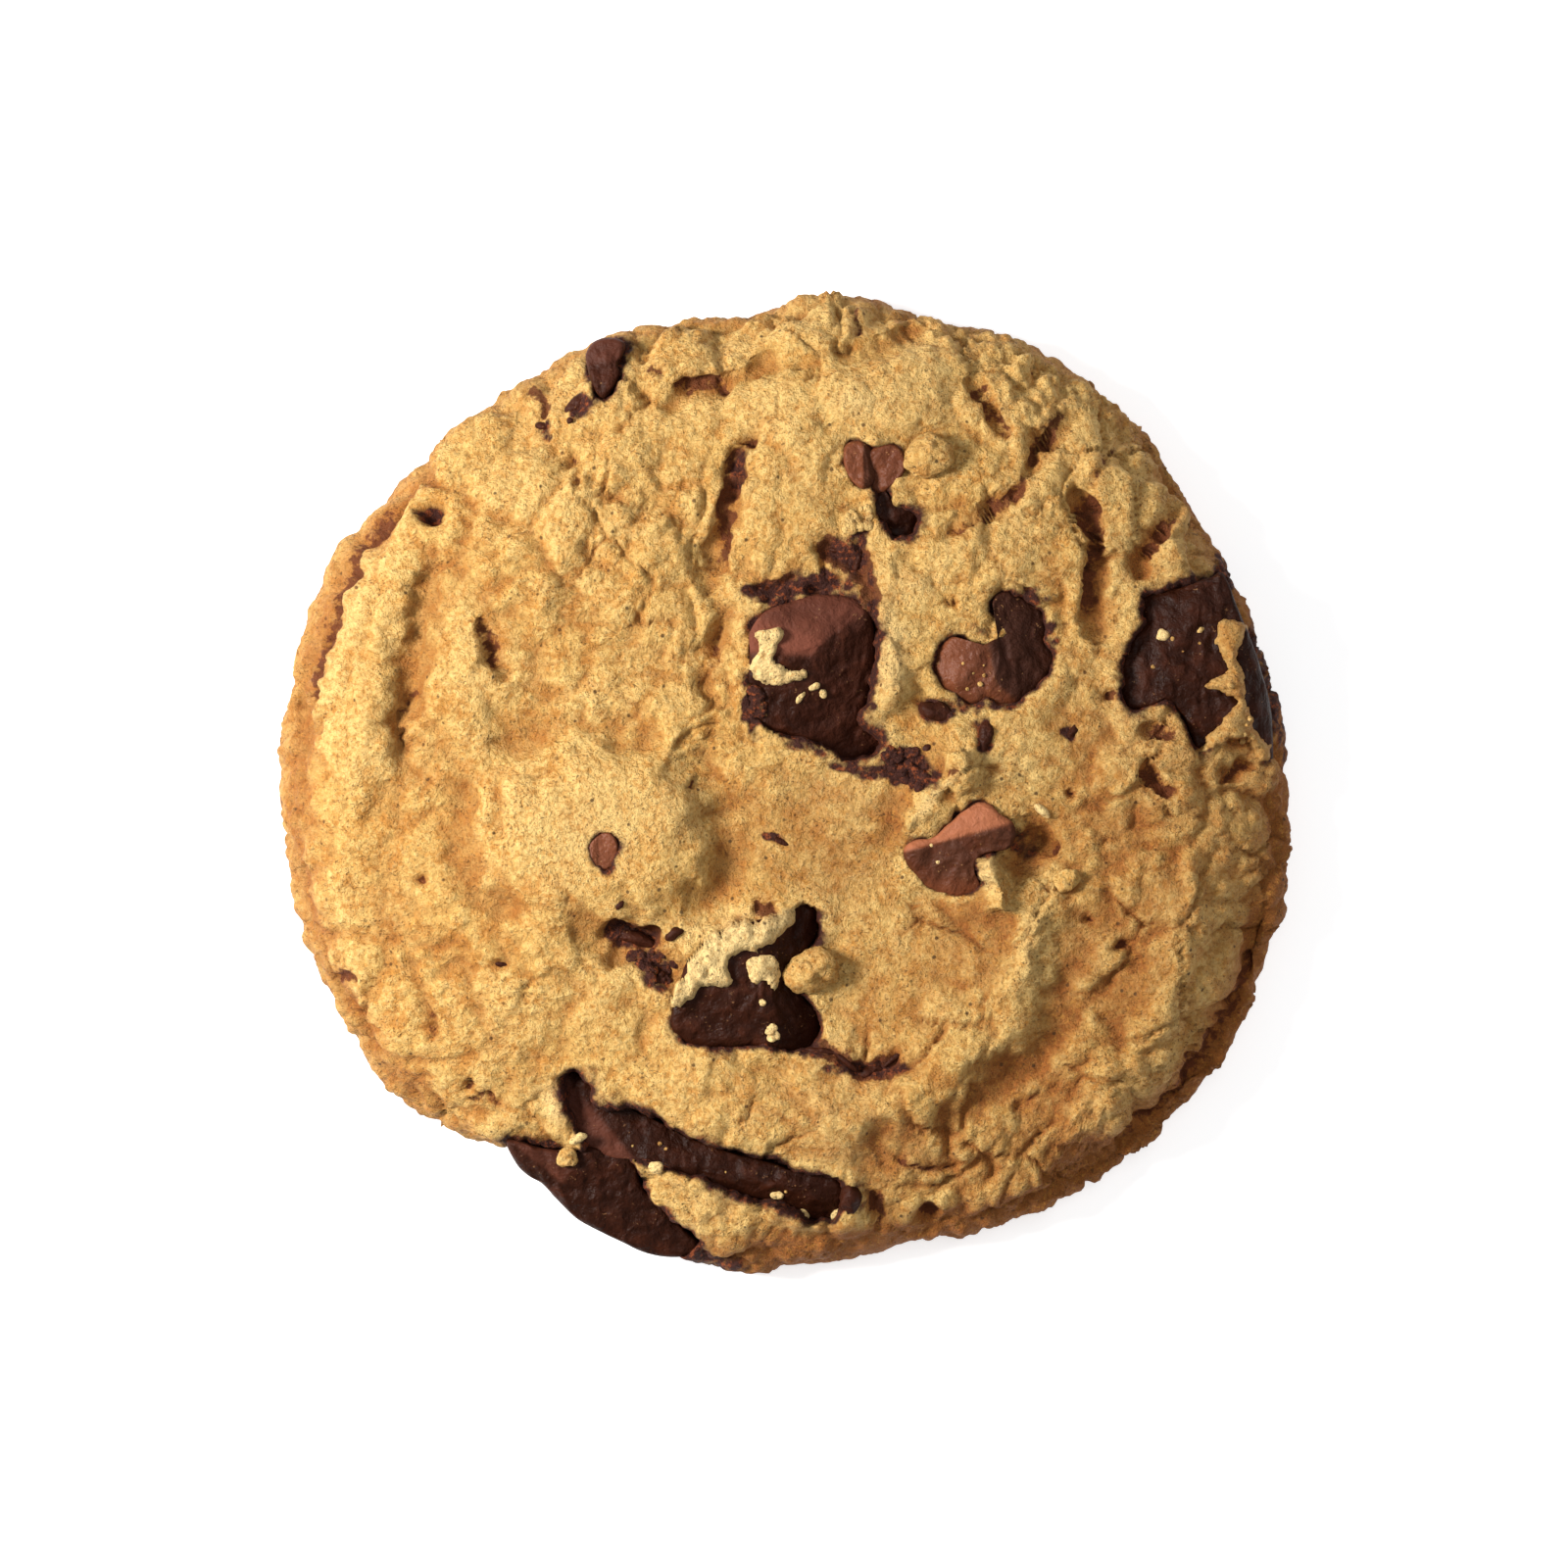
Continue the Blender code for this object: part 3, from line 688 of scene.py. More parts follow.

# Cracks: width, depth, colour, then the route. The colour is partly the crust's own and partly painted shade
# in the crack.
cracks = {
    "left of the centre chunk": (0.5, 0.9, 1.0, [(-3.2, 17.2), (-1.4, 17.5), (0.2, 18.1), (1.2, 18.8)]),
    "over the centre chunk": (0.7, 1.0, 1.0, [(1.8, 17), (3, 16.8), (4.2, 16)]),
    "above the centre chunk": (0.8, 1.0, 1.0, [
        (2, 20.4), (4.2, 20.6), (5.6, 19.8), (6.6, 18.6), (7.3, 17),
    ]),
    "beside the centre chunk": (0.5, 0.8, 1.0, [
        (6.2, 22.6), (6.7, 20.4), (7.4, 17.4), (7.6, 14), (7.9, 10), (7.7, 7.4),
    ]),
    "upper left": (0.4, 0.5, 0.9, [(-23.6, 35.1), (-22.2, 34.9), (-21.4, 33.6), (-21, 32.8)]),
    "upper left, second": (0.4, 0.5, 0.8, [(-12.6, 36.9), (-11.6, 36.6), (-10.4, 36.1)]),
    "upper left, third": (0.5, 0.7, 0.9, [(-9.6, 36), (-8.4, 35.4), (-6, 35.3), (-4.4, 35.4)]),
    "lower left": (0.35, 0.5, 0.7, [(-33, -19), (-31.6, -20.4), (-31.4, -22), (-32, -23)]),
    "left rim": (0.4, 0.6, 0.9, [(-41, -17.8), (-39.2, -17.3), (-37.8, -16.8)]),
    "lower right": (0.35, 0.5, 0.7, [(20, -29), (21.4, -28.2), (23, -27)]),
    "over the lower chunk": (0.45, 0.7, 1.0, [(-3, -11.2), (-1.6, -11.1), (-0.4, -10.7)]),
    "top": (0.4, 0.5, 0.8, [(6.5, 43.4), (6.8, 41.6), (6.2, 39.8)]),
    "left dome": (0.3, 0.4, 0.5, [(-21, -8), (-19.4, -9.6), (-18.6, -11)]),
    "bottom": (0.5, 0.7, 0.8, [(7.8, -36), (8.4, -38), (8, -40.4)]),
    "lip": (0.3, 0.4, 0.7, [(-2.2, -28), (-3, -29.4), (-4.2, -30.4)]),
    "smear": (0.6, 0.8, 1.0, [
        (1, -23.5), (3, -23.3), (5, -24), (6.5, -25.4), (8, -25.2), (9.6, -24.3), (11, -22.8),
    ]),
    "left foot": (0.45, 0.9, 0.9, [(-32.6, 27), (-37, 22), (-40.2, 15.6), (-41.8, 10), (-42.4, 4)]),
    "right foot": (0.5, 0.9, 0.8, [(43, -10), (41.4, -17), (38, -23.6), (33, -29.4), (27, -34.2)]),
    "plate top": (0.35, 0.6, 0.8, [(13.6, 21.6), (16, 23.2), (18.4, 24.8), (21, 26.4), (22.4, 28.6)]),
    "plate right": (0.45, 0.8, 0.9, [(24.8, 26.4), (27, 24), (27.6, 20.6), (27.2, 17), (27.2, 13)]),
    "top right": (0.4, 0.8, 0.9, [(25.8, 34.2), (24.2, 31.4), (22.4, 29.8), (21.5, 27.4)]),
    "top right, second": (0.4, 0.7, 0.8, [(16.6, 36.4), (17.6, 34.2), (19, 32), (20.4, 30.2)]),
    "top right, third": (0.3, 0.5, 0.7, [(30.6, 31.6), (29, 29.6), (28.4, 27.4), (26, 25.6)]),
    "shoulder": (0.4, 0.8, 0.9, [(35.4, 25), (33.2, 21.8), (31.4, 19.6)]),
    "right plate": (0.35, 0.7, 0.9, [(31.3, 1.6), (32.6, 0.8), (33.8, -0.6), (34.8, -1.4)]),
    "right plate, upper": (0.3, 0.5, 0.9, [(31.6, 4.2), (33.4, 4.7), (35.4, 4.2)]),
    "right rim": (0.35, 0.6, 0.8, [(38.4, 0.3), (40.2, 1.2), (42, 1.8)]),
    "middle": (0.3, 0.5, 0.8, [(13.8, 1), (14.8, 0.9), (15.6, 1.1)]),
    "groove": (0.5, 0.9, 0.9, [(-3.6, 29.6), (-4.8, 25.4), (-5.6, 21), (-5.8, 18.4)]),
    "groove, lower": (0.35, 0.6, 0.7, [(-5.4, 15), (-6.2, 12), (-6.8, 8.4)]),
    "knuckle": (0.4, 0.7, 0.8, [(-27, 15.2), (-26, 12.6), (-24.6, 9.6)]),
    "shoulder foot": (0.35, 0.6, 0.7, [(-32.6, 10), (-33.4, 7), (-34.2, 5.4), (-32.8, 2)]),
    "field, across": (0.3, 0.5, 0.6, [(-14, 16), (-12.4, 14.2), (-10.6, 15), (-9, 13.4)]),
    "lip, right": (0.35, 0.6, 0.8, [(9, -32.4), (11.4, -34), (14, -34.4), (16.4, -33.6)]),
    "lower left rim": (0.35, 0.6, 0.8, [(-29, -28.6), (-26.4, -27.8), (-24.8, -29.2)]),
    "gap over the bar": (0.8, 2.2, 1.0, [(-19.4, -25.4), (-18.8, -27.2), (-18, -29.2), (-17.6, -31)]),
    "beneath the left dome": (0.7, 1.5, 1.0, [
        (-16.6, -12.6), (-14.4, -13.3), (-12.4, -14.1), (-10.6, -13.6),
    ]),
}

# Pits: x, y, half length, half width, turn, depth, darkness. The darkness is painted shade in the pit.
pits = {
    "left hole": (-31.5, 24, 1.1, 0.9, 0, 2.2, 1.0),
    "groove head": (-3.5, 30.2, 1.0, 0.8, 30, 1.6, 1.0),
    "groove, lower": (-4.6, 28.4, 0.5, 1.2, -20, 1.1, 0.8),
    "field": (-19, 28.8, 0.6, 0.9, -30, 0.9, 0.7),
    "field, second": (-18.3, 27.0, 0.35, 0.8, 0, 0.8, 0.7),
    "right, lower": (30, -14.3, 0.8, 0.4, 15, 1.2, 1.0),
    "right": (28.9, 7.9, 0.6, 0.6, 0, 1.0, 1.0),
    "low rim": (13, -38.6, 1.1, 1.0, 0, 1.6, 0.9),
    "low rim, second": (7.9, -37.4, 0.6, 1.4, 10, 1.4, 0.9),
    "lower left": (-28, -27, 0.5, 0.7, 0, 0.9, 0.8),
    "fold": (27, -12, 0.4, 0.7, 20, 0.8, 0.8),
    "beside the ridge": (23.3, -5.6, 0.7, 0.4, 20, 1.0, 1.0),
    "beside the ridge, second": (25.3, -0.9, 0.4, 0.4, 0, 0.9, 1.0),
    "shaded": (18.9, -3.8, 0.3, 0.3, 0, 0.7, 1.0),
    "middle": (14.7, 16.0, 0.7, 0.3, 0, 0.8, 0.8),
    "left": (-32, -8.5, 0.4, 0.4, 0, 0.7, 0.9),
    "left, lower": (-25, -16, 0.9, 0.4, -10, 0.7, 0.5),
    "centre": (-8, 0, 0.6, 0.4, 40, 0.7, 0.8),
}

# Places where the dough is painted dark: chocolate stains, and painted shade in holes, gaps and hollows
# beside the pieces (such as shade and under the dome): x, y, half length, half width, turn, strength.
stains = {
    "under the centre chunk": (10.8, 1.4, 3.0, 1.8, -20, 1.0),
    "band": (6.6, 1.3, 3.6, 0.9, -14, 0.9),
    "band, left": (1.6, 3.2, 3.2, 0.7, -18, 0.7),
    "left of the centre chunk": (-2.9, 6.8, 0.9, 3.2, 0, 1.0),
    "over the centre chunk": (2.2, 17.6, 4.6, 1.3, 6, 0.95),
    "over the centre chunk, left": (-2, 16.8, 2.2, 0.8, -10, 0.9),
    "above": (5.6, 20.2, 2.0, 1.5, -30, 1.0),
    "above, second": (6.6, 21.6, 0.8, 1.8, 10, 0.9),
    "edge line": (7.7, 12, 0.55, 8.0, 0, 0.95),
    "blob": (13.4, 6.5, 2.0, 1.1, -12, 1.0),
    "sliver": (17.6, 4.2, 0.8, 2.2, 12, 0.9),
    "left hole": (-31.5, 24, 1.3, 1.0, 0, 1.0),
    "groove": (-4.2, 27.8, 0.6, 2.4, -14, 0.7),
    "under the middle chip": (18, 7.2, 4.2, 0.8, 8, 0.8),
    "right of the middle chip": (23.4, 12, 0.9, 3.6, -10, 0.7),
    "above the middle chip": (17, 13.4, 2.2, 0.6, 0, 0.5),
    "beside the lower chunk": (-11.4, -16.6, 1.6, 2.4, 20, 0.8),
    "under the dome": (-14, -13.8, 2.4, 0.7, -16, 1.0),
    "lower edge": (-3, -23, 6, 0.7, 0, 0.6),
    "smear": (7, -25, 4.2, 0.7, 2, 0.8),
    "smear, left": (2.6, -23.4, 2.2, 0.9, -10, 0.7),
    "dusty": (6.2, 23.6, 1.8, 2.2, 0, 0.35),
    "beside the chip": (21.6, 16.2, 2.4, 1.3, 0, 0.7),
    "shade": (21, -5.2, 1.6, 1.6, 0, 0.6),
    "right bit": (25.4, 4.5, 0.7, 1.1, 20, 0.9),
    "above the right chunk": (36.2, 17.6, 3.8, 1.1, 14, 1.0),
    "rim": (39.6, 18.8, 1.5, 2.0, 0, 1.0),
    "crust outside the right chunk": (43.7, 9, 8.0, 0.8, 104, 0.85),
    "shade left of the right chunk": (30.6, 10, 0.9, 3.0, 0, 0.6),
    "upper left": (-18.2, 33.8, 1.5, 1.3, 0, 1.0),
    "round the upper left chunk": (-16, 36.8, 2.2, 2.9, 0, 1.0),
    "upper left, second": (-21.3, 31.6, 1.0, 0.7, -40, 0.8),
    "upper left, third": (-8.4, 36.4, 1.0, 0.6, 0, 0.5),
    "sliver in the middle": (-0.8, -4.9, 1.3, 0.4, -20, 1.0),
    "by the bar": (-18.6, -28.6, 1.2, 2.4, 20, 0.7),
    "end of the bar": (6.4, -36.6, 1.6, 2.0, 0, 0.5),
    "crust under the slab": (-8, -42.6, 5.5, 1.1, -16, 0.9),
    "below": (1.6, 2.9, 0.7, 0.4, -30, 0.6),
    "left low": (-2.4, 4.3, 1.0, 0.5, 0, 0.6),
}

# Dough left pale: torn places, and a painted highlight on raised places facing the key lamp, such as the
# domes, the left shoulder, the ridges and the fold crest: x, y, half length, half width, turn, strength.
paleSpots = {
    "right of the centre chunk": (9.4, 12, 2.2, 8, 0, 0.6),
    "ridge": (13.4, -1.2, 4.6, 1.6, 48, 0.65),
    "above the lower chunk": (-5, -13, 5.5, 2.6, 8, 0.6),
    "tongue": (18, -7.8, 1.4, 2.4, 0, 0.7),
    "centre": (4, -3, 10, 6, 0, 0.1),
    "fold crest": (22, -14, 1.6, 6, -14, 0.5),
    "top dome": (6.6, 33.4, 3.4, 2.6, 0, 0.55),
    "left dome": (-19, -3, 7, 5, 0, 0.4),
    "by the bar": (-20.4, -28.6, 1.6, 2.2, 0, 0.7),
    "left shoulder": (-39, 12, 9, 2.4, 80, 0.35),
    "between the chips": (12, 18, 3, 3, 0, 0.5),
    "right of the low chip": (21, 1, 4, 3, 0, 0.35),
}

# Places made browner, or paler, than the rest round them: x, y, half length, half width, turn, how much. The
# one in the centre is painted shade, where the crust slopes away from the key lamp.
brownSpots = {
    "centre": (2, -4, 9, 7, 0, 0.36),
    "fold crest": (20, -19, 12, 4, 60, -0.14),
    "top right": (24, 33, 9, 6, -40, -0.2),
    "lower right": (32, -22, 12, 5, 50, -0.15),
    "bottom": (14, -37, 9, 3, 8, -0.3),
    "bottom foot": (3, -41, 7, 2.2, -4, 0.5),
    "lower middle": (1, -27.6, 8, 3, -8, 0.3),
    "left shoulder": (-39, 8, 13, 3, 84, -0.1),
}


def rimRadius(angle):
    # distance from the middle to the rim: a smooth closed curve through the rim's points, by angle
    x, y = np.array(dough["rim"], float).T
    knots = np.arctan2(y, x)
    order = np.argsort(knots)
    knots, radii = knots[order], np.hypot(x, y)[order]
    knots = np.concatenate([knots - math.tau, knots, knots + math.tau])
    radii = np.tile(radii, 3)
    slopes = np.gradient(radii, knots)
    i = np.clip(np.searchsorted(knots, angle) - 1, 0, len(knots) - 2)
    span = knots[i + 1] - knots[i]
    t = (angle - knots[i]) / span
    return (
        radii[i] * (1 + 2 * t) * (1 - t) ** 2
        + radii[i + 1] * t**2 * (3 - 2 * t)
        + span * (slopes[i] * t * (1 - t) ** 2 - slopes[i + 1] * t**2 * (1 - t))
    )


def domeHeight(x, y, share):
    # the smooth dome and its lumps, rounded down to the equator at the rim
    rounding = np.sqrt(np.clip(1 - share ** dough["rimPower"], 0, 1))
    flat = np.stack([x, y, 0 * x], -1)
    x, y = (
        place + 0.9 * noise(flat, 5.0, seed) + 0.45 * noise(flat, 2.0, seed + 1)
        for place, seed in ((x, 5), (y, 7))
    )
    height = dough["shoulder"] + (dough["crown"] - dough["shoulder"]) * (1 - share**2)
    for *oval, rise in lumps.values():
        height = height + rise * spot(x, y, *oval)
    for width, rise, skew, route in folds.values():
        far, side, along = toLine(x, y, throughPoints(route), 4 * width + 2)
        wide = width * np.where(side < 0, 1 - skew, 1 + skew)
        ends = smooth(along, 0, 0.16) * smooth(1 - along, 0, 0.16)
        height = height + rise * np.exp(-((far / wide) ** 2)) * ends
    return dough["equator"] + (height - dough["equator"]) * rounding


def squareToDisc(a, b):
    # each square ring of the grid becomes a round one: share of the radius, and angle
    wide = np.abs(a) > np.abs(b)
    ring = np.where(wide, a, b)
    safe = np.where(ring == 0, 1, ring)
    angle = np.where(wide, b / safe, 2 - a / safe) * math.pi / 4
    angle = np.where(ring < 0, angle + math.pi, angle)
    return np.abs(ring), np.arctan2(np.sin(angle), np.cos(angle))


def evenShares(ring):
    # shares of the radius at even steps of the way from the middle over the dome and down the rim
    fine = np.linspace(0, 1, 4001) ** 0.25
    fine = np.sort(np.concatenate([fine, np.linspace(0, 0.7, 800)]))
    fall = dough["shoulder"] - dough["equator"]
    height = dough["equator"] + fall * np.sqrt(1 - fine ** dough["rimPower"])
    way = np.concatenate([[0], np.cumsum(np.hypot(np.diff(fine) * 45, np.diff(height)))])
    return np.interp(ring, way / way[-1], fine)


# The crust's rounded lumps: size, seed, width of the creases, how much their heights differ.
crustLumps = {"big": (6.2, 11, 3.4, 0.55), "mid": (2.8, 12, 1.7, 0.55), "small": (1.2, 13, 0.8, 0.6)}


def flakes(p, size, seed, crease, step):
    # rounded lumps of that size, each at a height of its own: 1 - (1 - distance from the crease / width)^2.
    # Returns height 0..1 and how deep in a crease each place is.
    first, second, own = cells(p, size, seed)
    gap = np.clip((second - first) * size / crease, 0, 1)
    return (1 - (1 - gap) ** 2) * (1 - step + step * own), 1 - smooth(gap, 0, 0.22)


def warped(p):
    # three clouds, one for each direction, that shift places about
    return np.stack([cloud(p + 31.7 * k, 5.0, 4, 40 + k, 0.6) for k in range(3)], -1)


def crustRelief(p, x, y, share):
    # lumps of several sizes with creases between, grains, and a net of shallow cracks. Returns the height to
    # add along the surface, and how cracked each place is.
    warp = warped(p)
    q = p + warp * 1.5
    rough = 0.75 + 0.45 * noise(p, 11, 3)
    for name, calm in calmPlaces.items():
        rough = rough - calm * spot(x, y, *lumps[name][:5])
    rough = rough + 0.45 * spot(x, y, *lumps["upper left field"][:5])
    rough = np.clip(rough + 0.3 * smooth(share, 0.75, 0.95) + 0.15 * smooth(x, 5, 35), 0.2, 1.4)
    rough = rough * (1 + 0.4 * smooth(share, 0.93, 0.97) - 0.5 * smooth(share, 0.97, 1))
    big, bigCrease = flakes(q, *crustLumps["big"])
    mid, midCrease = flakes(q + 5, *crustLumps["mid"])
    small, smallCrease = flakes(p + warp * 0.6, *crustLumps["small"])
    relief = 0.95 * (big - 0.6) + 0.45 * (mid - 0.6) + 0.24 * (small - 0.6) + 0.2 * cloud(p, 1.6, 4, 25, 0.65)
    relief = relief * rough + 0.75 * cloud(p, 9.0, 3, 21)
    plate, plateNext, _ = cells(q + 3, 8.0, 14)
    net = 1 - smooth((plateNext - plate) * 8.0, 0.0, 0.5)
    net = net * smooth(noise(p, 9, 31) + 0.5 * smooth(x, 0, 30) + 0.3 * (share - 0.6), 0.25, 0.6)
    crease = 0.8 * bigCrease + 0.6 * midCrease + 0.35 * smallCrease
    return relief - 0.6 * net, np.maximum(net, np.clip(crease, 0, 1) * np.clip(rough, 0, 1) * 0.7)


def makeDough():
    n = dough["cells"]
    side = np.linspace(-1, 1, n + 1)
    a, b = np.meshgrid(side, side)
    ring, angle = squareToDisc(a, b)
    share = evenShares(ring)
    radius = share * rimRadius(angle)
    x, y = radius * np.cos(angle), radius * np.sin(angle)
    top = np.stack([x, y, domeHeight(x, y, share)], -1)
    facing = np.cross(np.gradient(top, axis=1), np.gradient(top, axis=0))
    facing /= np.maximum(np.linalg.norm(facing, axis=-1, keepdims=True), 1e-9)

    # the rim's loop of vertices, walked once round the square
    index = np.arange((n + 1) ** 2).reshape(n + 1, n + 1)
    loop = np.concatenate([index[0, :-1], index[:-1, -1], index[-1, :0:-1], index[:0:-1, 0]])
    rimPoints = top.reshape(-1, 3)[loop]
    outward = rimPoints[:, :2] / np.linalg.norm(rimPoints[:, :2], axis=1, keepdims=True)
    sideRings, sideFacing = [], []
    for reach, height in dough["under"]:
        sideRings.append(np.column_stack([rimPoints[:, :2] * reach, np.full(len(loop), height)]))
        down = -1 + height / dough["equator"]
        sideFacing.append(np.column_stack([outward * (1 + down), np.full(len(loop), down)]))
    points = np.vstack([top.reshape(-1, 3), *sideRings])
    facing = np.vstack([facing.reshape(-1, 3), *sideFacing])
    shares = np.concatenate([share.ravel(), np.ones(len(loop) * len(sideRings))])

    px, py = points[:, 0], points[:, 1]
    relief, net = crustRelief(points, px, py, shares)
    # how dark each place is painted in its cracks, creases and pits: partly the crust's own colour, partly
    # painted shade
    crackDepth, crackMask = net * 0.0, net * 0.55
    wander = 0.35 * noise(points, 0.9, 51) + 0.5 * noise(points, 2.4, 52)
    for width, depth, dark, route in cracks.values():
        far, hand, along = toLine(px, py, throughPoints(route), 3)
        far = np.abs(far * hand + wander)
        ends = smooth(along, 0, 0.2) * smooth(1 - along, 0, 0.2)
        crackDepth = np.maximum(crackDepth, depth * ends * np.exp(-((far / (width * 0.8)) ** 2)))
        crackMask = np.maximum(crackMask, dark * ends * np.exp(-((far / (width * 2.2)) ** 2)))
    for *oval, depth, dark in pits.values():
        shape = spot(px + 0.3 * noise(points, 0.8, 61), py + 0.3 * noise(points, 0.8, 62), *oval)
        crackDepth = np.maximum(crackDepth, depth * shape)
        crackMask = np.maximum(crackMask, dark * smooth(shape, 0.15, 0.8))
    fade = smooth(points[:, 2], 0.0, 0.8)  # no relief where the cookie meets the tray
    onTop = shares < 1
    settled = points + facing * ((relief * fade) - crackDepth * onTop)[:, None]

    # pockets: the dough falls to each piece of chocolate over a ragged edge, and flaps of it lie on top
    stain = np.zeros(len(points))
    torn = np.zeros(len(points))
    ragged = 0.30 * noise(points, 2.6, 70) + 0.30 * noise(points, 1.3, 71) + 0.16 * noise(points, 0.6, 72)
    crumbly = 0.45 * flakes(points + warped(points) * 0.6, 1.5, 76, 0.7, 0.7)[0]
    crumbly = crumbly + 0.25 * cloud(points, 0.9, 2, 77)
    for name, piece in chocolatePieces.items():
        gap = toOutline(px, py, piece["line"], 4) + ragged
        level = flatsHeight(px, py, piece["flats"])[0]
        lip = 0.2 * np.exp(-(((gap - 0.9) / 0.8) ** 2))
        settled[:, 2] += lip * (shares < 0.93)
        for rise, rounding, crumbs, outline in piece.get("flaps", {}).values():
            over = toOutline(px, py, throughPoints(outline, closed=True, steps=3), 4) + ragged * 0.9
            laid = (1 - smooth(over, -0.1, 0.3)) * onTop * (gap < 0.4)
            rounded = 1 - (1 - np.clip(0.15 - over / rounding, 0, 1)) ** 2
            settled[:, 2] = mixed(settled[:, 2], level + rise * rounded + crumbly * crumbs, laid)
            gap = np.maximum(gap, -over)
            torn = np.maximum(torn, laid)
        floor = np.maximum(level - dough["pocket"], 1.0)
        inside = 1 - smooth(gap, -0.35, 0.3)
        settled[:, 2] -= np.clip(settled[:, 2] - floor, 0, None) * inside * onTop
        # dark round each piece: partly chocolate stain, partly painted shade where the dough falls into the
        # pocket
        reach = dough["stainReach"][piece["slot"]] * np.clip(1 + 1.4 * noise(points, 2.4, 84), 0.25, 2.2)
        stain = np.maximum(stain, np.exp(-np.clip(gap, 0, None) / reach) * onTop * (1 - torn * 0.8))
    for *oval, strength in stains.values():
        wobble = spot(px + 0.5 * noise(points, 1.3, 73), py + 0.5 * noise(points, 1.3, 74), *oval)
        stain = np.maximum(stain, 1.25 * strength * wobble * (0.8 + 0.5 * noise(points, 0.8, 75)))
    crumbs = 0.35 * cloud(points, 0.9, 2, 78) - 0.15
    settled[:, 2] += np.clip(stain, 0, 1) * onTop * crumbs * (shares < 0.98)
    # cream: pale torn dough, and a painted highlight on raised places facing the key lamp
    cream = np.zeros(len(points))
    for *oval, strength in paleSpots.values():
        wobble = spot(px + 1.2 * noise(points, 3.0, 79), py + 1.2 * noise(points, 3.0, 80), *oval)
        cream = np.maximum(cream, strength * wobble)
    cream = np.maximum(cream, torn * smooth(38 - px, 0, 8))
    # toast and shade: browner all round the rim and low down by the tray, which is baked colour; browner
    # towards the right and on the lower right rim, the side away from the key lamp, which is partly baked
    # colour and partly painted shade
    toast = 0.05 + 0.4 * smooth(shares, 0.9, 1.0) + 0.62 * smooth(px * 0.85 - py * 0.4, -4, 40)
    toast = toast + 0.6 * smooth(px * 0.65 - py * 0.75, 24, 42) * smooth(shares, 0.9, 0.99)
    for *oval, browned in brownSpots.values():
        toast = toast + browned * spot(px, py, *oval)
    toast = toast + 0.5 * smooth(3.2 - points[:, 2], 0, 2.4) - 0.4 * cream

    # hollow: how far each place lies under the average of its surroundings; the crust's shader paints shade
    # there, darker and browner
    height = settled[: (n + 1) ** 2, 2].reshape(n + 1, n + 1)
    hollow = np.zeros(len(points))
    hollow[: (n + 1) ** 2] = hollowness(height).ravel()
    hollow *= smooth(1 - shares, 0.0, 0.04)

    # the base: a grid of half as many cells, joined to the last ring by fans
    half = n // 2
    side = np.linspace(-1, 1, half + 1)
    a, b = np.meshgrid(side, side)
    ring, angle = squareToDisc(a, b)
    baseRadius = ring * rimRadius(angle) * dough["baseShare"]
    bx, by = baseRadius * np.cos(angle), baseRadius * np.sin(angle)
    flat = np.stack([bx, by, np.zeros_like(bx)], -1).reshape(-1, 3)
    tray, _, _ = cells(flat, 1.6, 81)
    inner = smooth(1 - ring.ravel(), 0.0, 0.03)
    flat[:, 2] = inner * np.clip(0.22 * (0.55 - tray) + 0.16 * cloud(flat, 4, 3, 82), 0, 0.4)
    first = len(settled)
    allPoints = np.vstack([settled, flat])
    allPoints[:, 2] = np.clip(allPoints[:, 2], 0, doughHigh[2] - 0.05)

    grid = np.stack([index[:-1, :-1], index[:-1, 1:], index[1:, 1:], index[1:, :-1]], -1).reshape(-1, 4)
    count = len(loop)
    rings = np.vstack([loop, *[(n + 1) ** 2 + k * count + np.arange(count) for k in range(len(sideRings))]])
    upper, lower = rings[:-1], rings[1:]
    sides = np.stack([upper, lower, np.roll(lower, -1, 1), np.roll(upper, -1, 1)], -1).reshape(-1, 4)
    baseIndex = first + np.arange((half + 1) ** 2).reshape(half + 1, half + 1)
    baseGrid = np.stack(
        [baseIndex[:-1, :-1], baseIndex[1:, :-1], baseIndex[1:, 1:], baseIndex[:-1, 1:]], -1
    ).reshape(-1, 4)
    baseLoop = np.concatenate(
        [baseIndex[0, :-1], baseIndex[:-1, -1], baseIndex[-1, :0:-1], baseIndex[:0:-1, 0]]
    )
    last = rings[-1]
    outerA, outerB, outerC = last[0::2], last[1::2], np.roll(last[0::2], -1)
    innerA, innerB = baseLoop, np.roll(baseLoop, -1)
    fans = np.vstack(
        [
            np.stack([outerA, innerA, outerB], -1),
            np.stack([outerB, innerB, outerC], -1),
            np.stack([outerB, innerA, innerB], -1),
        ]
    )
    extra = np.zeros(len(flat))
    baseToast = 0.62 + 0.2 * noise(flat, 9, 83) + 0.25 * smooth(ring.ravel(), 0.7, 1)
    # on the base the crack colour darkens the edges between its lumps, painted shade between them
    makeMesh(
        "dough_crust", allPoints, np.vstack([grid, sides, baseGrid]), fans, crust, "baked_dough", ["dough"],
        toast=np.concatenate([toast, baseToast]), cream=np.concatenate([cream, extra]),
        crack=np.concatenate([crackMask, 0.5 * smooth(tray, 0.65, 0.9)]),
        stain=np.concatenate([stain, extra]), hollow=np.concatenate([hollow, extra]),
    )
    return settled[: (n + 1) ** 2].reshape(n + 1, n + 1, 3)


def blurred(grid, cells):
    # running averages along the two directions of a grid, three times over
    for _ in range(3):
        for axis in (0, 1):
            pad = [(cells, cells) if k == axis else (0, 0) for k in (0, 1)]
            total = np.cumsum(np.pad(grid, pad, "edge"), axis=axis)
            start = np.take(total, np.arange(grid.shape[axis]), axis=axis)
            end = np.take(total, np.arange(grid.shape[axis]) + 2 * cells, axis=axis)
            grid = (end - start) / (2 * cells)
    return grid


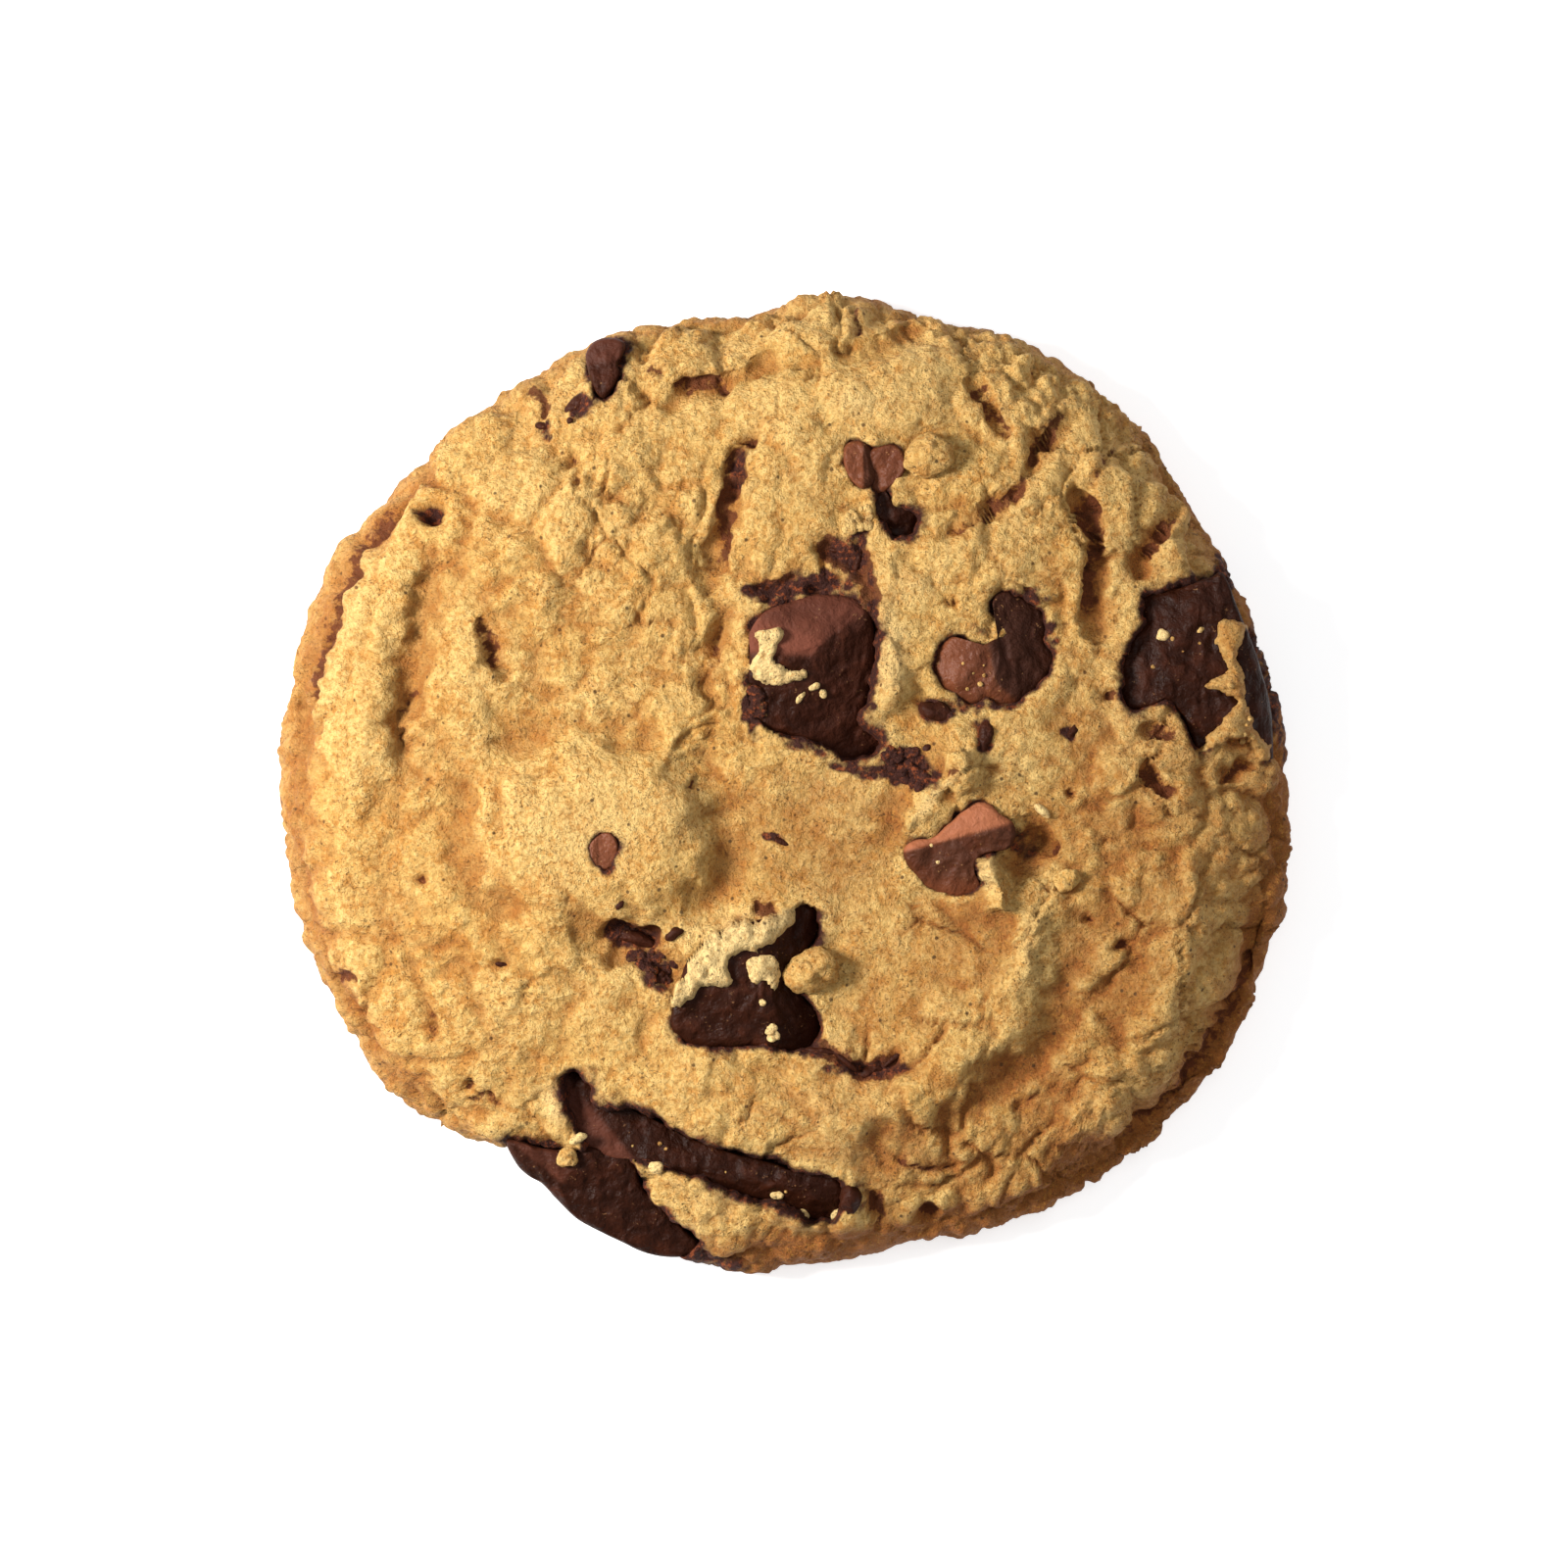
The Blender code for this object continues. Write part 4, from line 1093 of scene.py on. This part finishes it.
def hollowness(height):
    near = blurred(height, 3) - height
    wide = blurred(height, 9) - height
    return np.clip(near * 1.6 + wide * 0.55, -0.5, 1.0)


def flatsHeight(x, y, flats):
    # the lowest of several tilted planes, its edges rounded over, and the bloom of the one that is lowest,
    # which on milk chocolate is partly a painted highlight
    heights = np.stack([z + sx * (x - fx) + sy * (y - fy) for fx, fy, z, sx, sy, _ in flats])
    sharp = 7.0
    lowest = heights.min(0)
    weights = np.exp(-sharp * (heights - lowest))
    owners = weights**6
    bloom = (owners * np.array([f[5] for f in flats]).reshape(-1, *[1] * x.ndim)).sum(0) / owners.sum(0)
    return lowest - np.log(weights.sum(0)) / sharp, bloom


def makeChocolate(name, piece):
    # rings of points from the middle of the top to the outline, over its edge, down and under to the middle
    low = np.array(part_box(name)[0]) / mm
    line = piece["line"]
    centre = line.mean(0)
    reach = np.linalg.norm(line - centre, axis=1)
    edge = centre + (line - centre) * ((reach + 0.35) / reach)[:, None]
    steps = len(edge)
    size = reach.mean()
    topRings = int(np.clip(size * 5, 12, 46))
    shares = np.linspace(0, 1, topRings + 1)[1:]
    rows, bloomRows = [], []
    seed = sum(map(ord, name))
    for s in shares:
        x, y = (centre + (edge - centre) * s).T
        z, bloom = flatsHeight(x, y, piece["flats"])
        rows.append(np.column_stack([x, y, z - 0.5 * (1 - np.sqrt(1 - min(s, 0.999) ** 14))]))
        bloomRows.append(bloom)
    bottom = max(low[2], 1.2)
    for s, depth in ((1.01, 0.35), (1.0, 0.7), (0.94, 1.0)):
        x, y = (centre + (edge - centre) * s).T
        z = mixed(rows[topRings - 1][:, 2], bottom, depth)
        rows.append(np.column_stack([x, y, z]))
        bloomRows.append(bloomRows[topRings - 1])
    points = np.vstack(rows)
    bloom = np.concatenate(bloomRows)
    middle = flatsHeight(centre[:1], centre[1:], piece["flats"])[0][0]
    ends = np.array([[*centre, middle], [*centre, bottom]])
    points = np.vstack([points, ends])
    bloom = np.concatenate([bloom, bloom[:1], bloom[:1]])
    chips = cells(points, 1.3, seed)[0]
    grain = cloud(points, 1.6, 4, seed + 3)
    splinters = 1 - np.abs(cloud(points * [1, 0.45, 1], 1.7, 3, seed + 5)) * 2
    dents = 0.2 * (0.5 - chips) * (1 - bloom * 0.5)
    points[:, 2] += 0.16 * grain + dents + 0.22 * cloud(points, 4.0, 2, seed + 9)
    points[:, 2] += 0.25 * splinters * (1 - bloom * 0.6)
    worn = np.clip(0.5 + grain * 1.5, 0, 1)
    # on milk chocolate the flats with little bloom are painted dark: painted shade on the flats facing away
    # from the key lamp
    if piece["slot"] == "milk_chocolate":
        worn = np.clip(2.6 - bloom * 9 + grain, 0, 3)
    rings = len(rows)
    last = rings * steps
    s = np.arange(steps)
    n = (s + 1) % steps
    turn = 1 if area(line) > 0 else -1
    quads = bandQuads(rings, steps)
    cap = np.stack([np.full(steps, last), s, n], -1)
    foot = np.stack([np.full(steps, last + 1), last - steps + n, last - steps + s], -1)
    tris = np.vstack([cap, foot])
    if turn < 0:
        quads, tris = quads[:, ::-1], tris[:, ::-1]
    slot = piece["slot"]
    makeMesh(name + "_look", points, quads, tris, chocolates[slot], slot, [name], bloom=bloom, worn=worn)


def area(line):
    x, y = line.T
    return 0.5 * np.sum(x * np.roll(y, -1) - np.roll(x, -1) * y)


# torn dough, knobs and crumbs

# Patches filled with small lumps: outline, lump radius, how many, how high they stand, cream, toast, stain.
tornPatches = {
    "bit on the lower chunk": (
        [(-1.8, -21.6), (-1.2, -21), (-0.6, -21.8), (-0.4, -22.7), (-1.2, -22.8)], 0.3, 14, 0.1, 1.0,
        -0.1, 0.1,
    ),
    "crumbs on the middle chip": (
        [(14.4, 9.4), (15.4, 12.2), (17, 12), (18.6, 11.6), (17.6, 8.6), (16, 8)], 0.14, 12, 0.0, 0.3,
        0.25, 0.0,
    ),
    "crumbs on the right chunk": (
        [(33, 15.4), (37, 15.6), (37.4, 12), (36, 9), (33, 9), (32, 12)], 0.15, 9, 0.0, 0.2, 0.4, 0.1,
    ),
    "crumbs on the bar": (
        [(-16, -30), (-6, -33.4), (3, -36), (3.6, -37.4), (-6, -34.8), (-16, -32)], 0.15, 8, 0.0, 0.3,
        0.3, 0.0,
    ),
    "strip over the right chunk": (
        [(38.2, 13.8), (39, 11.4), (38.2, 9), (40, 7.4), (38, 4), (42, 4), (41, 9), (40.6, 13.6)], 0.3, 8,
        0.0, 0.3, 0.3, 0.1,
    ),
    "stained, under the centre chunk": (
        [(8.7, 2.5), (9.5, 3.5), (10.8, 3.3), (12, 2.9), (12.7, 1.5), (12.8, 0.4), (12.4, -0.6),
        (10.6, 0.1), (9.6, 0.5)], 0.42, 70, -0.05, 0.0, 0.4, 0.95,
    ),
    "stained, left of the centre chunk": (
        [(-3.1, 8.3), (-2.2, 8.2), (-1.6, 6.8), (-1.5, 5.8), (-2.9, 6.2)], 0.4, 26, 0.1, 0.2, 0.4, 0.7,
    ),
    "beside the lower chunk": (
        [(-14.2, -14.8), (-10.2, -14.8), (-9.6, -16), (-10.2, -18), (-11.6, -18), (-12.8, -16.4)], 0.5,
        50, -0.1, 0.1, 0.4, 0.75,
    ),
    "dusty": ([(5.2, 22.2), (7.4, 22.6), (8.2, 24), (7, 24.6), (5.4, 24.2)], 0.4, 26, 0.0, 0.5, 0.1, 0.35),
    "between the bar and the slab": (
        [(-18.8, -33.9), (-19.8, -33.8), (-19.9, -32.9), (-19.2, -32.6), (-18.6, -33)], 0.6, 8, 0.3, 0.2,
        0.2, 0.1,
    ),
}

# Single knobs: x, y, height above the dough, three radii, turn, cream, toast.
knobs = [
    (12.8, 29.1, 0.3, 2.4, 1.8, 1.6, 10, 0.1, 0.25), (2.5, -16.4, 0.6, 2.5, 2.0, 1.7, 20, 0.1, 0.2),
    (-19.3, -33.3, 0.5, 1.0, 0.8, 0.7, 0, 0.3, 0.2), (25.0, -8.4, 0.2, 1.0, 0.9, 0.7, 0, 0.3, 0.1),
    (33.7, 13.2, -0.2, 0.7, 0.5, 0.5, 20, 1.0, 0.0), (36.7, 13.5, -0.3, 0.6, 0.5, 0.4, 0, 0.5, 0.1),
    (31.7, 10.2, -0.2, 0.35, 0.3, 0.3, 0, 0.8, 0.0), (-18.2, -31.4, 0.1, 0.8, 0.4, 0.4, 30, 1.0, 0.0),
    (-11.5, -34, 0.1, 0.7, 0.5, 0.4, -10, 1.0, 0.0), (1.8, -38.3, 0.1, 0.5, 0.5, 0.4, 0, 1.0, 0.0),
    (-0.6, -36.6, 0.1, 0.6, 0.4, 0.4, 0, 1.0, 0.0), (4.7, -38.3, 0.1, 0.6, 0.4, 0.4, 40, 1.0, 0.0),
    (-1.9, -19.3, 0.1, 0.35, 0.3, 0.25, 0, 1.0, 0.0), (-1.1, 6.4, 0.0, 0.3, 0.25, 0.2, 0, 1.0, 0.0),
    (1.5, 7.8, 0.1, 0.75, 0.3, 0.3, 60, 1.0, 0.0), (2.5, 8.6, 0.1, 0.75, 0.32, 0.3, 10, 1.0, 0.0),
    (3.4, 8.1, 0.1, 0.5, 0.28, 0.25, -60, 1.0, 0.0), (22.8, -2.4, 0.2, 0.9, 0.35, 0.4, -40, 1.0, 0.0),
    (13.6, -6.9, 0.0, 0.28, 0.26, 0.2, 0, 0.9, 0.2), (13, -5.4, 0.0, 0.2, 0.2, 0.15, 0, 0.9, 0.2),
]

# Small pieces of chocolate that just show: x, y, three radii, turn, how far their middle is sunk.
slivers = [
    (-18.4, 33.8, 1.3, 0.6, 0.6, 45, 0.3), (-21.2, 31.7, 0.9, 0.35, 0.4, -15, 0.2),
    (-19, 32.2, 0.3, 0.3, 0.3, 0, 0.1), (17.7, 4.0, 1.9, 0.6, 0.7, 75, 0.3),
    (25.5, 4.5, 1.1, 0.6, 0.6, 60, 0.3), (-0.5, -5, 1.3, 0.35, 0.5, -25, 0.3),
    (-13.4, -13.6, 2.8, 0.55, 0.8, -18, 0.1), (-9.6, -13.2, 1.0, 0.5, 0.6, 30, 0.2),
    (-11.2, -17.4, 1.1, 0.5, 0.5, 60, 0.2), (6.6, 20.0, 1.6, 0.4, 0.5, 78, 0.4),
    (4.8, 20.6, 0.9, 0.3, 0.4, -12, 0.3), (7.6, -25.5, 1.5, 0.55, 0.5, 20, 0.2),
    (5.3, -24.4, 1.5, 0.3, 0.4, -40, 0.2), (10, -24, 1.6, 0.3, 0.4, 42, 0.2),
    (3.2, -23.6, 1.4, 0.35, 0.4, -5, 0.2), (12.6, 3.2, 0.5, 0.3, 0.3, 30, 0.1),
    (-25, -16, 0.9, 0.25, 0.3, -10, 0.2), (36.9, 17.5, 1.4, 0.45, 0.4, 12, 0.3),
    (13.4, 6.4, 1.5, 0.8, 0.7, -15, 0.3), (-14.5, -10.7, 0.5, 0.3, 0.3, 40, 0.2),
    (5.9, -36.8, 1.4, 1.0, 0.8, 80, 0.4),
]


def levelAt(x, y):
    # the height of whatever lies on top at each place: dough, or chocolate where some shows
    flat = surface.reshape(-1, 3)
    nearest = [np.argmin((flat[:, 0] - a) ** 2 + (flat[:, 1] - b) ** 2) for a, b in zip(x, y)]
    level = flat[nearest, 2]
    for piece in chocolatePieces.values():
        gap = toOutline(x, y, piece["line"], 2)
        level = np.where(gap < 0, np.maximum(level, flatsHeight(x, y, piece["flats"])[0]), level)
    return level


def makeLumps(name, places, radii, turns, sides, material, slot, **looks):
    # a ball for each place, its radii and turn its own, its surface pushed in and out by noise; one mesh
    rings = sides // 2 + 1
    across = np.linspace(0, math.pi, rings + 1)[1:-1]
    around = np.arange(sides) * math.tau / sides
    ball = np.stack(
        [
            np.outer(np.sin(across), np.cos(around)), np.outer(np.sin(across), np.sin(around)),
            np.outer(np.cos(across), np.ones(sides)),
        ],
        -1,
    ).reshape(-1, 3)
    ball = np.vstack([ball, [0, 0, 1], [0, 0, -1]])
    count = len(ball)
    c, s = np.cos(turns)[:, None], np.sin(turns)[:, None]
    long, wide, tall = (radii[:, k, None] * ball[None, :, k] for k in range(3))
    points = np.stack([long * c - wide * s, long * s + wide * c, tall], -1)
    spread = points.reshape(-1, 3) + np.repeat(places, count, 0)
    size = np.repeat(radii[:, 1], count)[:, None]
    push = 0.30 * noise(spread, 0.9, 91) + 0.2 * noise(spread, 0.4, 92) + 0.5 * noise(spread, 2.0, 93)
    directions = points.reshape(-1, 3) / np.linalg.norm(points.reshape(-1, 3), axis=1, keepdims=True)
    spread = spread + directions * push[:, None] * np.minimum(size, 0.9)
    spread[:, 2] = np.clip(spread[:, 2], 0.02, doughHigh[2] + 0.3)
    quads = bandQuads(rings - 1, sides)
    k = np.arange(sides)
    n = (k + 1) % sides
    end = (rings - 2) * sides
    upper = np.stack([np.full(sides, count - 2), k, n], -1)
    lower = np.stack([np.full(sides, count - 1), end + n, end + k], -1)
    caps = np.vstack([upper, lower])
    offsets = (np.arange(len(places)) * count)[:, None, None]
    looks = {key: np.repeat(value, count) for key, value in looks.items()}
    makeMesh(name, spread, quads[None] + offsets, caps[None] + offsets, material, slot, **looks)


def fillOutline(outline, count, seed):
    # seeded random places inside a closed line
    low, high = outline.min(0), outline.max(0)
    n = np.arange(count * 8)
    x = low[0] + (high[0] - low[0]) * scrambled(n, n * 0, n * 0, seed)
    y = low[1] + (high[1] - low[1]) * scrambled(n, n * 0, n * 0, seed + 1)
    kept = toOutline(x, y, outline, 1) < -0.2
    return x[kept][:count], y[kept][:count]


def makeTornDough():
    places, radii, turns, cream, toast, stain = [], [], [], [], [], []
    for seed, (outline, size, count, rise, pale, browned, stained) in enumerate(tornPatches.values()):
        line = throughPoints(outline, closed=True, steps=3)
        x, y = fillOutline(line, count, 200 + seed)
        k = np.arange(len(x))
        odd = scrambled(k, k * 0, k * 0, 300 + seed)
        r = size * (0.55 + 0.75 * odd)
        places.append(np.column_stack([x, y, levelAt(x, y) + rise + 0.15 * odd]))
        radii.append(np.column_stack([r * 1.15, r, r * 0.6]))
        turns.append(odd * math.tau)
        cream.append(np.full(len(x), pale))
        toast.append(browned + 0.3 * (odd - 0.5))
        stain.append(np.full(len(x), stained))
    places, radii, turns = (np.concatenate(v) for v in (places, radii, turns))
    looks = {"cream": np.concatenate(cream), "toast": np.concatenate(toast), "stain": np.concatenate(stain)}
    looks |= {"crack": 0 * turns, "hollow": 0 * turns}
    makeLumps("torn_dough", places, radii, turns, 12, crust, "baked_dough", **looks)

    x, y, rise, long, wide, tall, turn, pale, browned = np.array(knobs, float).T
    places = np.column_stack([x, y, levelAt(x, y) + rise])
    radii = np.column_stack([long, wide, tall])
    makeLumps(
        "dough_knobs", places, radii, np.radians(turn), 32, crust, "baked_dough",
        cream=pale, toast=browned, stain=0 * x, crack=0 * x, hollow=0 * x,
    )
    x, y, long, wide, tall, turn, sunk = np.array(slivers, float).T
    places = np.column_stack([x, y, levelAt(x, y) - sunk])
    makeLumps(
        "chocolate_slivers", places, np.column_stack([long, wide, tall]), np.radians(turn), 24, darkChocolate,
        "dark_chocolate", bloom=0.1 + 0 * x, worn=0.6 + 0 * x,
    )


surface = makeDough()
for name, piece in chocolatePieces.items():
    makeChocolate(name, piece)
makeTornDough()
print("cookie made")


# room, lights and camera

studio = {
    "lens": 150.0,
    "width": 139.1,  # what the picture takes in across, at the height of the crust
    "height": 8.0,
    "floor": 600.0,
    "floorColour": 0.7,
    "floorGlow": 0.6,
    "room": 0.35,
    "lamps": {  # place, width, power, colour
        "key": ((-225, 35, 190), 100, 1.8, (1.0, 0.97, 0.93)),
        "fill": ((120, 60, 420), 300, 0.5, (0.98, 0.98, 1.0)),
    },
}


def makeStudio():
    size = studio["floor"] * mm
    mesh = bpy.data.meshes.new("floor")
    corners = [(-size, -size, 0), (size, -size, 0), (size, size, 0), (-size, size, 0)]
    mesh.from_pydata(corners, [], [(0, 1, 2, 3)])
    floor = bpy.data.objects.new("floor", mesh)
    floor.location.z = -0.02 * mm
    t = Tree("paleFloor")
    t.shader.inputs["Base Color"].default_value = (*[studio["floorColour"]] * 3, 1)
    t.shader.inputs["Roughness"].default_value = 0.9
    t.shader.inputs["Emission Color"].default_value = (1, 1, 1, 1)
    t.shader.inputs["Emission Strength"].default_value = studio["floorGlow"]
    mesh.materials.append(t.material)
    bpy.context.scene.collection.objects.link(floor)

    for name, (place, width, power, colour) in studio["lamps"].items():
        lamp = bpy.data.lights.new(name, "AREA")
        lamp.shape, lamp.size, lamp.energy, lamp.color = "DISK", width * mm, power, colour
        holder = bpy.data.objects.new(name, lamp)
        holder.location = [c * mm for c in place]
        holder.rotation_mode = "QUATERNION"
        holder.rotation_quaternion = (-Vector(place)).to_track_quat("-Z", "Y")
        bpy.context.scene.collection.objects.link(holder)

    world = bpy.data.worlds.new("room")
    world.use_nodes = True
    world.node_tree.nodes["Background"].inputs["Color"].default_value = (1, 1, 1, 1)
    world.node_tree.nodes["Background"].inputs["Strength"].default_value = studio["room"]
    bpy.context.scene.world = world

    camera = bpy.data.cameras.new("camera")
    camera.lens, camera.sensor_width = studio["lens"], 36
    camera.clip_start, camera.clip_end = 0.01, 10
    eye = bpy.data.objects.new("camera", camera)
    away = studio["width"] * studio["lens"] / camera.sensor_width
    eye.location = (0, 0, (away + studio["height"]) * mm)
    bpy.context.scene.collection.objects.link(eye)
    bpy.context.scene.camera = eye
    bpy.context.scene.view_settings.view_transform = "Standard"


makeStudio()
print("studio made")
